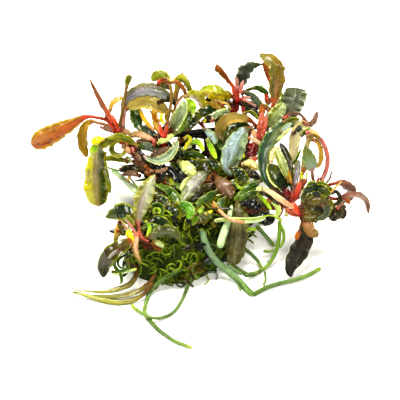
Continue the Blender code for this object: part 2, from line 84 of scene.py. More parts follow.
# How each kind of leaf looks. Colours are as the photograph shows them, 0 to 255: the upper face
# at its foot, middle and tip, the margin, the underside, the stalk, the gloss, and where they
# differ the right and left halves of the blade, seen from its foot.
Look = namedtuple("Look", "foot mid tip edge back stalk gloss right left", defaults=(0.26, None, None))
LOOKS = {
    "orange": Look((196, 88, 52), (150, 90, 48), (160, 116, 84), (176, 146, 40), (190, 150, 80),
                   (204, 82, 54), 0.26, (166, 118, 50), (160, 92, 58)),
    "spike": Look((204, 90, 64), (154, 98, 74), (104, 78, 44), (140, 92, 66), (160, 110, 80),
                  (206, 76, 50)),
    "olive": Look((116, 110, 34), (104, 110, 32), (140, 140, 30), (160, 156, 40), (160, 120, 40),
                  (150, 120, 66)),
    "band": Look((150, 140, 60), (150, 148, 50), (140, 140, 40), (150, 146, 40), (120, 80, 40), (176, 128, 92),
                 0.26, (74, 50, 30), (160, 160, 50)),
    "shell": Look((150, 140, 50), (160, 150, 60), (130, 120, 40), (150, 150, 30), (190, 170, 150), (170, 140, 80),
                  0.28, (206, 184, 172), (156, 152, 30)),
    # lilac: the pale lilac middle and the pale right half are painted sheen on a purplish leaf.
    "lilac": Look((108, 96, 108), (146, 140, 152), (120, 138, 94), (120, 116, 56), (150, 116, 36),
                  (126, 84, 84), 0.2, (162, 164, 160), (120, 114, 84)),
    "golden": Look((160, 138, 74), (164, 144, 74), (162, 146, 82), (136, 122, 44), (172, 154, 84),
                   (150, 104, 70)),
    "amber": Look((184, 142, 56), (186, 158, 84), (198, 172, 106), (158, 128, 38), (186, 158, 84),
                  (160, 84, 50)),
    "khaki": Look((180, 140, 60), (186, 148, 50), (190, 140, 30), (160, 130, 30), (190, 152, 60),
                  (180, 120, 70)),
    "drooping": Look((130, 120, 50), (136, 122, 88), (128, 118, 40), (176, 170, 20), (150, 140, 50),
                     (130, 116, 50), 0.16, (176, 170, 20), (66, 84, 24)),
    "wet": Look((50, 62, 14), (44, 56, 16), (96, 100, 26), (140, 146, 40), (90, 96, 40), (90, 80, 40), 0.2),
    "black": Look((26, 32, 10), (22, 28, 10), (30, 38, 12), (50, 60, 20), (40, 46, 20), (40, 30, 16), 0.22),
    "green": Look((50, 70, 10), (66, 90, 18), (100, 120, 26), (130, 150, 46), (110, 126, 46),
                  (100, 100, 40)),
    "lime": Look((90, 130, 20), (150, 190, 36), (190, 214, 70), (200, 214, 90), (170, 196, 80), (170, 180, 80)),
    "leek": Look((60, 104, 14), (88, 138, 26), (128, 176, 62), (180, 204, 130), (140, 170, 80),
                 (150, 160, 60)),
    "yellow": Look((180, 180, 30), (210, 200, 30), (226, 214, 50), (190, 190, 40), (200, 190, 50), (210, 190, 90)),
    "gilt": Look((110, 84, 18), (160, 156, 34), (170, 180, 100), (176, 170, 20), (190, 180, 60),
                 (150, 100, 50), 0.2, (150, 160, 60), (190, 160, 20)),
    "limpid": Look((190, 216, 90), (206, 226, 130), (190, 220, 110), (226, 240, 170), (200, 226, 130), (170, 180, 80)),
    "pale": Look((176, 190, 96), (200, 208, 136), (190, 202, 116), (210, 218, 150), (200, 206, 140),
                 (170, 170, 100)),
    "cream": Look((204, 190, 120), (212, 202, 150), (200, 188, 132), (170, 150, 60), (216, 204, 156),
                  (200, 170, 120), 0.26, (190, 164, 60), None),
    "sage": Look((110, 120, 40), (156, 168, 110), (180, 194, 136), (190, 202, 136), (166, 172, 100),
                 (150, 120, 60), 0.24, (168, 180, 124), (120, 120, 30)),
    "front": Look((154, 128, 114), (152, 144, 132), (164, 172, 130), (164, 164, 66), (170, 160, 96),
                  (190, 110, 90), 0.24, (158, 164, 126), (136, 134, 36)),
    # silver: the pale silvery middle and right half are painted sheen.
    "silver": Look((90, 108, 72), (146, 162, 168), (136, 154, 102), (152, 170, 120), (70, 80, 56),
                   (110, 100, 70), 0.24, (138, 156, 158), (110, 128, 84)),
    "cupped": Look((50, 64, 24), (126, 140, 96), (160, 176, 126), (196, 206, 136), (140, 136, 80), (150, 84, 60),
                   0.2, (130, 146, 104), (150, 162, 110)),
    "bowl": Look((110, 124, 80), (150, 166, 136), (150, 164, 110), (214, 212, 140), (190, 150, 110), (120, 80, 60),
                 0.2),
    "long": Look((40, 50, 34), (64, 82, 68), (136, 138, 62), (104, 118, 56), (96, 106, 60),
                 (100, 66, 46), 0.24, (118, 128, 94), (54, 72, 58)),
    "slate": Look((66, 74, 60), (80, 88, 74), (70, 84, 50), (120, 126, 96), (100, 94, 60), (120, 90, 70),
                  0.24),
    "crinkled": Look((92, 100, 60), (104, 108, 92), (86, 94, 64), (124, 130, 98), (104, 104, 76),
                     (120, 96, 60), 0.24),
    "tall": Look((176, 122, 90), (112, 94, 42), (104, 106, 60), (132, 114, 44), (160, 96, 30),
                 (176, 96, 60), 0.26, (128, 106, 44), (110, 106, 56)),
    "rust": Look((196, 76, 36), (120, 70, 40), (140, 84, 16), (110, 100, 24), (150, 84, 40), (206, 76, 44)),
    "brown": Look((150, 80, 40), (150, 90, 30), (120, 70, 20), (170, 110, 30), (140, 90, 40), (150, 80, 60)),
    "mauve": Look((150, 90, 78), (136, 106, 92), (110, 74, 50), (124, 94, 76), (110, 60, 50),
                  (176, 84, 70)),
    "stalked": Look((190, 150, 110), (190, 156, 100), (196, 176, 130), (150, 120, 50), (170, 140, 70),
                    (190, 108, 98)),
    # bright: the pale grey foot of the blade is a painted silver highlight.
    "bright": Look((140, 150, 136), (118, 134, 86), (104, 102, 16), (116, 130, 50), (120, 120, 60),
                   (180, 120, 110), 0.16),
    "bronze": Look((100, 88, 42), (86, 78, 40), (78, 74, 28), (112, 108, 44), (86, 74, 40),
                   (110, 70, 40), 0.24),
    "dim": Look((76, 70, 26), (56, 52, 18), (46, 44, 14), (90, 86, 26), (50, 44, 20), (80, 60, 30), 0.24),
    "night": Look((50, 46, 22), (50, 46, 22), (44, 38, 18), (64, 60, 24), (60, 52, 30), (120, 76, 50),
                  0.48),
    "wood": Look((150, 108, 90), (138, 100, 72), (124, 104, 20), (120, 100, 24), (104, 74, 44),
                 (140, 90, 70)),
    "rose": Look((100, 78, 52), (116, 92, 76), (96, 76, 56), (104, 80, 38), (112, 86, 62), (100, 70, 46),
                 0.24),
    # centre: the pale lilac-white middle is a painted highlight.
    "centre": Look((96, 106, 66), (166, 162, 154), (120, 140, 16), (130, 140, 34), (136, 146, 54),
                   (90, 90, 60), 0.2),
    "shade": Look((110, 112, 60), (92, 88, 60), (80, 76, 44), (90, 90, 50), (84, 80, 44), (100, 92, 50),
                  0.4),
    "muddy": Look((106, 106, 66), (86, 90, 60), (80, 86, 38), (110, 116, 46), (96, 100, 50),
                  (120, 90, 50), 0.2),
    "plum": Look((84, 76, 24), (66, 58, 30), (52, 50, 12), (112, 114, 22), (80, 70, 30), (150, 80, 56),
                 0.2),
    "ribbon": Look((110, 84, 36), (140, 136, 64), (156, 162, 76), (76, 92, 0), (130, 132, 60),
                   (110, 80, 30)),
    "peach": Look((216, 160, 120), (214, 162, 122), (206, 200, 150), (230, 200, 160), (210, 150, 106),
                  (216, 150, 110)),
    "tan": Look((186, 140, 90), (180, 140, 106), (170, 136, 100), (150, 120, 70), (180, 140, 90),
                (180, 130, 90)),
    "red": Look((184, 60, 44), (218, 82, 58), (206, 106, 82), (216, 134, 104), (200, 84, 62),
                (184, 56, 42), 0.34),
    "coral": Look((156, 62, 46), (180, 86, 68), (186, 112, 86), (190, 116, 90), (180, 92, 72),
                  (156, 62, 46), 0.34),
    "pink": Look((180, 96, 84), (184, 122, 110), (168, 134, 126), (192, 148, 132), (180, 124, 110),
                 (180, 92, 80), 0.34),
    "maroon": Look((70, 24, 22), (110, 38, 30), (150, 60, 44), (140, 60, 40), (110, 50, 40), (70, 24, 22), 0.26),
    "husk": Look((200, 150, 124), (170, 132, 96), (120, 100, 30), (116, 106, 20), (150, 104, 70),
                 (190, 110, 80), 0.3),
}


def on_sight_line(x, y, height):
    """The place at a height, in mm, that the photograph shows at picture point x, y."""
    across = (x - PICTURE_CENTRE) * MM_PER_PIXEL * VIEW_RIGHT
    up = (PICTURE_CENTRE - y) * MM_PER_PIXEL * VIEW_UP
    ray = VIEW_DISTANCE * VIEW_FORWARD + across + up
    return EYE + ray * (height - EYE[2]) / ray[2]


def places(points):
    return [on_sight_line(*point) for point in points]


def unit(vectors):
    return vectors / np.maximum(np.linalg.norm(vectors, axis=-1, keepdims=True), 1e-9)


def ease(t):
    t = np.clip(t, 0.0, 1.0)
    return t * t * (3 - 2 * t)


def smooth_route(points, shares):
    """Places at shares of the length of a smooth curve through the points, and its tangents."""
    points = np.array(points, dtype=float)
    padded = np.vstack([2 * points[0] - points[1], points, 2 * points[-1] - points[-2]])
    t = (np.arange(24) / 24)[:, None]
    fine = []
    for a, b, c, d in zip(padded, padded[1:], padded[2:], padded[3:]):
        fine.append(0.5 * (2 * b + (c - a) * t + (2 * a - 5 * b + 4 * c - d) * t ** 2
                           + (3 * b - a - 3 * c + d) * t ** 3))
    fine = np.vstack(fine + [points[-1:]])
    length = np.concatenate([[0], np.cumsum(np.linalg.norm(np.diff(fine, axis=0), axis=1))])
    route = np.column_stack([np.interp(np.array(shares) * length[-1], length, axis) for axis in fine.T])
    return route, unit(np.gradient(route, axis=0)), length[-1]


class Shell:
    """Closed shells collected for one object, with what their material reads at each vertex."""

    MARKS = ("along", "across", "upper", "stalk", "tone", "reach")

    def __init__(self):
        self.vertices = []
        self.faces = []
        self.face_looks = []
        self.marks = {mark: [] for mark in self.MARKS}
        self.count = 0

    def add(self, vertices, faces, look, **marks):
        self.vertices.append(vertices)
        self.faces += [tuple(self.count + i for i in face) for face in faces]
        self.face_looks += [look] * len(faces)
        self.count += len(vertices)
        for mark, values in self.marks.items():
            values.append(np.broadcast_to(marks.get(mark, 0.0), len(vertices)))

    def make(self, name):
        mesh = bpy.data.meshes.new(name)
        mesh.from_pydata((np.vstack(self.vertices) * MM).tolist(), [], self.faces)
        looks = sorted(set(self.face_looks))
        for look in looks:
            mesh.materials.append(material_for(look))
        order = {look: i for i, look in enumerate(looks)}
        mesh.polygons.foreach_set("material_index", [order[look] for look in self.face_looks])
        for mark, values in self.marks.items():
            attribute = mesh.attributes.new(mark, "FLOAT", "POINT")
            attribute.data.foreach_set("value", np.concatenate(values).astype(np.float32))
        mesh.shade_smooth()
        mesh.update()
        piece = bpy.data.objects.new(name, mesh)
        bpy.context.scene.collection.objects.link(piece)
        return piece


def ring_faces(rings, sides):
    faces = []
    for k in range(rings - 1):
        for j in range(sides):
            a = k * sides + j
            b = k * sides + (j + 1) % sides
            faces.append((a, b, b + sides, a + sides))
    faces.append(tuple(reversed(range(sides))))
    faces.append(tuple(range((rings - 1) * sides, rings * sides)))
    return faces


def two_waves(u, rate, phase):
    return np.sin(2 * math.pi * rate * u + phase) + 0.5 * np.sin(4.7 * math.pi * rate * u + 2 * phase)


def add_blade(shell, points, width, look, stalk=0.08, turn=(0, 0), cup=15, widest=0.5, blunt=0.8, tip=0.6,
              ruffle=0.4, waves=3.0, seed=0.0, fineness=1.0, toward=-VIEW_FORWARD):
    """A round stalk that spreads into a ruffled blade with a sunken midrib.

    turn is how far the upper face is turned from the viewer, in degrees, at the foot and the tip;
    cup is how far each half bends down from the rib.
    """
    stations = max(10, round(52 * fineness))
    half_count = max(3, round(7 * fineness))
    share = np.linspace(0, 1, stations)
    route, along, length = smooth_route(points, share)
    u = (share - stalk) / (1 - stalk)
    grown = np.clip(u, 0, 1)
    phase = seed * 7.31
    thin = min(STALK_RADIUS, 0.4 * width)

    rising = np.sin(math.pi / 2 * np.minimum(grown / widest, 1)) ** blunt
    falling = np.sin(math.pi / 2 * np.minimum((1 - grown) / (1 - widest), 1)) ** (blunt * tip)
    half = np.where(grown < widest, thin + (width / 2 - thin) * rising,
                    TIP_HALF_WIDTH + (width / 2 - TIP_HALF_WIDTH) * falling)
    radius = thin * (1 + 0.4 * ease(1 - share / 0.12))
    half = np.where(u <= 0, radius, half)
    spread = ease(u / BLADE_SPREAD)
    near_tip = 1 - ease((u - 0.86) / 0.14)

    facing = unit(toward - along * (along @ toward)[:, None])
    angle = np.radians(turn[0] + (turn[1] - turn[0]) * share) + 0.12 * spread * np.sin(5 * share + phase)
    upper = facing * np.cos(angle)[:, None] + np.cross(along, facing) * np.sin(angle)[:, None]
    side = np.cross(along, upper)

    top_row = np.sin(np.linspace(-1, 1, 2 * half_count + 1) * math.pi / 2)
    v = np.concatenate([top_row, top_row[-2:0:-1]])[None, :]
    top = np.concatenate([np.ones(len(top_row)), -np.ones(len(top_row) - 2)])[None, :]
    uc, half_c, spread_c = u[:, None], half[:, None], spread[:, None]
    left = v < 0
    wave = np.where(left, two_waves(uc, waves, phase), two_waves(uc, waves * 1.13, 1.9 * phase + 1.3))
    scallop = np.sin(2 * math.pi * waves * np.where(left, 1.6, 1.7) * uc + phase * np.where(left, 3, 4))
    reach = half_c * (1 + 0.05 * spread_c * scallop)
    fold = math.radians(cup) * spread_c
    sink = np.abs(v) ** 1.4 * reach * np.sin(fold)
    lift = ruffle * wave * np.abs(v) ** 2.2 * spread_c * near_tip[:, None] * np.minimum(half_c / 2.5, 1.2)
    rib = np.exp(-(v * half_c / 0.42) ** 2)
    flat = BLADE_THICKNESS / 2 * np.sqrt(1 - np.minimum(v ** 6, 1))
    flat = flat + np.where(top < 0, 0.22, -0.14) * rib * (1 - 0.8 * np.clip(uc, 0, 1))
    thick = radius[:, None] * np.sqrt(1 - np.minimum(v * v, 1)) * (1 - spread_c) + flat * spread_c
    out = v * reach * np.cos(fold * np.abs(v) ** 0.4)
    vertices = route[:, None] + side[:, None] * out[..., None] + upper[:, None] * (top * thick - sink + lift)[..., None]
    sides = v.shape[1]
    shell.add(vertices.reshape(-1, 3), ring_faces(stations, sides), look, along=np.repeat(grown, sides),
              across=np.tile(v[0], stations), upper=np.tile((top[0] + 1) / 2, stations),
              stalk=np.repeat(1 - spread, sides), tone=(seed * 0.37) % 1.0, reach=np.repeat(share * length, sides))


def add_tube(shell, points, radii, look, sides=12, spacing=0.6, knots=0.0, seed=0.0, knot_gap=2.2):
    """A round stem or root through the points, with rounded ends and slight swellings."""
    rough = np.array(points, dtype=float)
    stations = max(6, round(np.linalg.norm(np.diff(rough, axis=0), axis=1).sum() / spacing))
    shares = np.linspace(0, 1, stations)
    route, tangents, length = smooth_route(points, shares)
    side = np.cross(tangents[0], VIEW_RIGHT + VIEW_UP)
    angles = 2 * math.pi * np.arange(sides) / sides
    stops = np.linspace(0, 1, len(radii))
    rings = []
    for share, place, along in zip(shares, route, tangents):
        side = unit(side - along * np.dot(side, along))
        base = np.interp(share, stops, radii)
        from_end = min(min(share, 1 - share) * length / base, 1)
        cap = math.sqrt(max(1 - (1 - from_end) ** 2, 0.02))
        ring = 1 + knots * max(math.sin(share * length / knot_gap * 2 * math.pi + seed), 0) ** 6
        lump = 1 + 0.5 * knots * np.sin(3 * angles + 9 * share + seed * 3) * math.sin(share * length * 1.3 + seed)
        radius = (base * cap * ring * lump)[:, None]
        around = np.cos(angles)[:, None] * side + np.sin(angles)[:, None] * np.cross(along, side)
        rings.append(place + radius * around)
    shell.add(np.vstack(rings), ring_faces(stations, sides), look, along=np.repeat(shares, sides),
              across=np.tile(np.cos(angles), stations), upper=1.0, tone=(seed * 0.37) % 1.0,
              reach=np.repeat(shares * length, sides))


def screen_colour(colour, gain=1.0):
    """A colour as the photograph shows it, 0 to 255, as the linear colour a shader takes."""
    linear = (np.array(colour) / 255) ** 2.2 * gain - VEIL
    return tuple(np.clip(linear * COLOUR_GAIN, 0.0004, 1.0)) + (1.0,)


class Wiring:
    """One material, and short ways to add nodes to it."""

    def __init__(self, name):
        self.material = bpy.data.materials.new(name)
        self.material.use_nodes = True
        self.nodes = self.material.node_tree.nodes
        self.links = self.material.node_tree.links
        self.shader = self.nodes["Principled BSDF"]

    def put(self, socket, value):
        if isinstance(value, bpy.types.NodeSocket):
            self.links.new(value, socket)
        else:
            socket.default_value = value

    def mark(self, name):
        node = self.nodes.new("ShaderNodeAttribute")
        node.attribute_name = name
        return node.outputs["Fac"]

    def maths(self, operation, a, b=0.0):
        node = self.nodes.new("ShaderNodeMath")
        node.operation = operation
        self.put(node.inputs[0], a)
        self.put(node.inputs[1], b)
        return node.outputs[0]

    def plus(self, a, b):
        return self.maths("ADD", a, b)

    def times(self, a, b):
        return self.maths("MULTIPLY", a, b)

    def step(self, value, low, high):
        """0 below low and 1 above high, with a soft change between."""
        node = self.nodes.new("ShaderNodeMapRange")
        node.interpolation_type = "SMOOTHSTEP"
        self.put(node.inputs["Value"], value)
        self.put(node.inputs["From Min"], low)
        self.put(node.inputs["From Max"], high)
        return node.outputs["Result"]

    def mix(self, share, a, b):
        node = self.nodes.new("ShaderNodeMix")
        node.data_type = "RGBA"
        self.put(node.inputs[0], share)
        self.put(node.inputs[6], a)
        self.put(node.inputs[7], b)
        return node.outputs[2]

    def noise(self, per_mm, detail=3.0, rough=0.55, distort=0.0, place=None):
        """Cloudy variation; place is in mm where it isn't the object's own space."""
        node = self.nodes.new("ShaderNodeTexNoise")
        scale = per_mm / MM if place is None else per_mm
        self.put(node.inputs["Vector"], place or self.nodes.new("ShaderNodeTexCoord").outputs["Object"])
        for name, value in (("Scale", scale), ("Detail", detail), ("Roughness", rough), ("Distortion", distort)):
            node.inputs[name].default_value = value
        return node.outputs["Fac"]

    def leaf_place(self, stretch):
        """A place on the blade itself: along it, divided by stretch, across it, and its number."""
        node = self.nodes.new("ShaderNodeCombineXYZ")
        self.put(node.inputs["X"], self.times(self.mark("reach"), 1 / stretch))
        self.put(node.inputs["Y"], self.times(self.mark("across"), 2.5))
        self.put(node.inputs["Z"], self.times(self.mark("tone"), 90.0))
        return node.outputs[0]

    def ramp(self, share, stops):
        node = self.nodes.new("ShaderNodeValToRGB")
        self.put(node.inputs["Fac"], share)
        elements = node.color_ramp.elements
        elements[0].position, elements[0].color = stops[0]
        elements[1].position, elements[1].color = stops[-1]
        for position, colour in stops[1:-1]:
            elements.new(position).color = colour
        return node.outputs["Color"]

    def bump(self, height, depth, strength=1.0, under=None):
        node = self.nodes.new("ShaderNodeBump")
        node.inputs["Strength"].default_value = strength
        node.inputs["Distance"].default_value = depth * MM
        self.put(node.inputs["Height"], height)
        if under is not None:
            self.put(node.inputs["Normal"], under)
        return node.outputs["Normal"]

    def finish(self, colour, roughness, normal, **values):
        """Wires the shader up; values are the constants of its other sockets."""
        self.put(self.shader.inputs["Base Color"], colour)
        self.put(self.shader.inputs["Roughness"], roughness)
        self.put(self.shader.inputs["Normal"], normal)
        for name, value in values.items():
            self.shader.inputs[name.replace("_", " ")].default_value = value
        return self.material


def leaf_material(name):
    """A wet, leathery leaf: streaked along its length, with pale side veins and an uneven margin."""
    look = LOOKS[name]
    wires = Wiring("leaf " + name)
    across, tone = wires.mark("across"), wires.mark("tone")
    off_rib = wires.maths("ABSOLUTE", across)
    cloudy = wires.noise(0.32, 4.0, 0.6, 0.6)
    fine = wires.noise(1.6, 3.0, 0.6)
    streaks = wires.noise(1.0, 3.0, 0.6, 0.3, wires.leaf_place(6.0))
    ripples = wires.noise(1.0, 2.0, 0.5, 0.2, wires.leaf_place(1.6))

    wander = wires.plus(wires.times(wires.plus(cloudy, -0.5), 0.5), wires.times(wires.plus(streaks, -0.5), 0.5))
    shifted = wires.plus(wires.mark("along"), wander)
    face = wires.ramp(shifted, [(0.05, screen_colour(look.foot)), (0.5, screen_colour(look.mid)),
                                (0.95, screen_colour(look.tip))])
    side = wires.plus(across, wander)
    if look.right:
        face = wires.mix(wires.step(side, 0.08, 0.5), face, screen_colour(look.right))
    if look.left:
        face = wires.mix(wires.step(side, -0.08, -0.5), face, screen_colour(look.left))
    dark = screen_colour(look.mid, 0.34)
    face = wires.mix(wires.times(wires.step(streaks, 0.48, 0.66), 0.7), face, dark)
    face = wires.mix(wires.times(wires.step(cloudy, 0.56, 0.70), 0.5), face, dark)
    face = wires.mix(wires.times(wires.step(fine, 0.58, 0.72), 0.35), face, screen_colour(look.foot, 0.4))
    light = screen_colour(look.mid, 1.7)
    face = wires.mix(wires.times(wires.step(ripples, 0.44, 0.30), 0.4), face, light)

    # Side veins leave the rib at a slant.
    slant = wires.plus(wires.times(wires.mark("reach"), 0.75), wires.times(off_rib, -1.6))
    vein_wave = wires.maths("ABSOLUTE", wires.plus(wires.maths("FRACT", slant), -0.5))
    veins = wires.times(wires.step(vein_wave, 0.12, 0.0), wires.step(off_rib, 0.95, 0.6))
    face = wires.mix(wires.times(veins, 0.16), face, light)
    face = wires.mix(wires.times(wires.step(off_rib, 0.10, 0.02), 0.45), face, light)

    rim_from = wires.plus(0.66, wires.times(wires.plus(fine, -0.5), 0.5))
    rim = wires.step(off_rib, rim_from, wires.plus(rim_from, 0.24))
    face = wires.mix(wires.times(rim, 0.8), face, screen_colour(look.edge))

    under = wires.mix(wires.step(streaks, 0.45, 0.7), screen_colour(look.back), screen_colour(look.back, 0.66))
    under = wires.mix(wires.times(veins, 0.25), under, dark)
    face = wires.mix(wires.maths("SUBTRACT", 1.0, wires.mark("upper")), face, under)
    stalk = wires.mix(wires.step(fine, 0.35, 0.7), screen_colour(look.stalk), screen_colour(look.stalk, 0.45))
    face = wires.mix(wires.step(wires.mark("stalk"), 0.15, 0.8), face, stalk)
    # Each leaf is a little lighter or darker than the next.
    shade = wires.nodes.new("ShaderNodeHueSaturation")
    wires.put(shade.inputs["Value"], wires.plus(0.86, wires.times(tone, 0.28)))
    wires.put(shade.inputs["Color"], face)

    height = wires.plus(wires.times(veins, -0.25), wires.plus(streaks, wires.times(ripples, 0.5)))
    relief = 0.25 if sum(look.mid) > 230 else 0.1
    normal = wires.bump(fine, 0.05, 0.5, wires.bump(height, relief, 0.8))
    return wires.finish(
        shade.outputs["Color"], wires.plus(look.gloss, wires.times(fine, 0.18)), normal,
        Specular_IOR_Level=0.2, Coat_Roughness=0.06,
        Coat_Weight=0.3 if look.gloss < 0.23 else 0.14 if look.gloss < 0.36 else 0.03,
        Subsurface_Weight=0.1, Subsurface_Radius=(0.6, 0.6, 0.2), Subsurface_Scale=0.5 * MM)


def stem_material(name, stops, blotch, roughness=0.36, mottling=0.6):
    """A stem or a root whose colour changes along it; stops are a share and a colour."""
    wires = Wiring(name)
    cloudy = wires.noise(0.5, 4.0, 0.6, 0.4)
    fine = wires.noise(2.5, 3.0, 0.6)
    streaks = wires.noise(1.0, 3.0, 0.6, 0.2, wires.leaf_place(5.0))
    shifted = wires.plus(wires.mark("along"), wires.times(wires.plus(cloudy, -0.5), 0.25))
    face = wires.ramp(shifted, [(place, screen_colour(colour)) for place, colour in stops])
    face = wires.mix(wires.times(wires.step(cloudy, 0.48, 0.66), mottling), face, screen_colour(blotch))
    face = wires.mix(wires.times(wires.step(streaks, 0.5, 0.66), mottling), face, screen_colour(blotch, 0.6))
    return wires.finish(
        face, wires.plus(roughness, wires.times(fine, 0.2)), wires.bump(wires.plus(fine, streaks), 0.25, 0.8),
        Specular_IOR_Level=0.2, Coat_Weight=0.1, Coat_Roughness=0.12, Subsurface_Weight=0.1,
        Subsurface_Radius=(0.8, 0.6, 0.3), Subsurface_Scale=0.5 * MM)


def moss_material(name, deep, middle, light):
    """Fibrous moss: darker in cloudy patches, partly its own colour and partly painted shade of its hollows, with
    lighter tips.
    """
    wires = Wiring(name)
    cloudy = wires.noise(0.22, 5.0, 0.7, 1.2)
    fibres = wires.noise(1.1, 5.0, 0.75, 2.5)
    share = wires.plus(wires.times(cloudy, 0.7), wires.times(wires.mark("tone"), 0.35))
    face = wires.ramp(share, [(0.22, screen_colour(deep)), (0.5, screen_colour(middle)), (0.85, screen_colour(light))])
    face = wires.mix(wires.times(wires.step(fibres, 0.5, 0.62), 0.75), face, screen_colour(deep, 0.6))
    return wires.finish(face, wires.plus(0.45, wires.times(fibres, 0.3)), wires.bump(fibres, 0.6),
                        Specular_IOR_Level=0.25)


STEM_LOOKS = {
    "stem brown": dict(stops=[(0, (50, 40, 20)), (0.4, (84, 60, 36)), (0.75, (150, 76, 50)), (1, (210, 80, 54))],
                       blotch=(60, 30, 20)),
    "stem husk": dict(stops=[(0, (50, 40, 20)), (0.6, (96, 64, 40)), (0.85, (140, 84, 58)), (1, (178, 92, 62))],
                      blotch=(60, 36, 22)),
    "stem dark": dict(stops=[(0, (34, 24, 20)), (0.6, (44, 28, 26)), (1, (72, 36, 36))], blotch=(20, 14, 12)),
    "stem red": dict(stops=[(0, (60, 30, 22)), (0.5, (110, 36, 28)), (0.8, (200, 56, 36)), (1, (216, 70, 48))],
                     blotch=(90, 20, 18)),
    "stem coral": dict(stops=[(0, (96, 44, 30)), (0.5, (140, 60, 46)), (0.8, (220, 104, 82)), (1, (228, 116, 90))],
                       blotch=(150, 50, 40)),
    "stem tan": dict(stops=[(0, (170, 130, 60)), (0.3, (204, 160, 130)), (0.8, (206, 160, 124)), (1, (200, 150, 50))], blotch=(170, 120, 80)),
    "root green": dict(stops=[(0, (84, 106, 46)), (0.5, (106, 132, 78)), (0.9, (124, 150, 74)), (1, (176, 188, 50))],
                       blotch=(74, 98, 40)),
    "root teal": dict(stops=[(0, (112, 134, 112)), (0.45, (124, 146, 112)), (0.8, (104, 134, 76)), (1, (106, 138, 64))],
                      blotch=(84, 110, 60)),
    "root pale": dict(stops=[(0, (236, 244, 220)), (0.2, (190, 214, 110)), (0.5, (236, 244, 214)), (1, (180, 206, 80))],
                      blotch=(180, 210, 80)),
    "root mint": dict(stops=[(0, (206, 226, 180)), (0.5, (200, 222, 176)), (1, (180, 206, 150))],
                      blotch=(160, 190, 136)),
    "root lime": dict(stops=[(0, (120, 156, 44)), (0.6, (116, 146, 60)), (1, (130, 156, 70))], blotch=(96, 124, 40)),
}
MOSS_LOOKS = {
    "moss deep": dict(deep=(40, 50, 4), middle=(76, 90, 8), light=(120, 140, 24)),
    "moss strand": dict(deep=(70, 88, 8), middle=(122, 146, 26), light=(172, 192, 60)),
    "moss lime": dict(deep=(110, 136, 20), middle=(160, 184, 44), light=(200, 216, 90)),
    "moss teal": dict(deep=(50, 64, 50), middle=(90, 112, 90), light=(130, 150, 124)),
}
MADE = {}


def material_for(look):
    if look not in MADE:
        if look in LOOKS:
            MADE[look] = leaf_material(look)
        elif look in STEM_LOOKS:
            MADE[look] = stem_material(look, **STEM_LOOKS[look])
        else:
            MADE[look] = moss_material(look, **MOSS_LOOKS[look])
    return MADE[look]


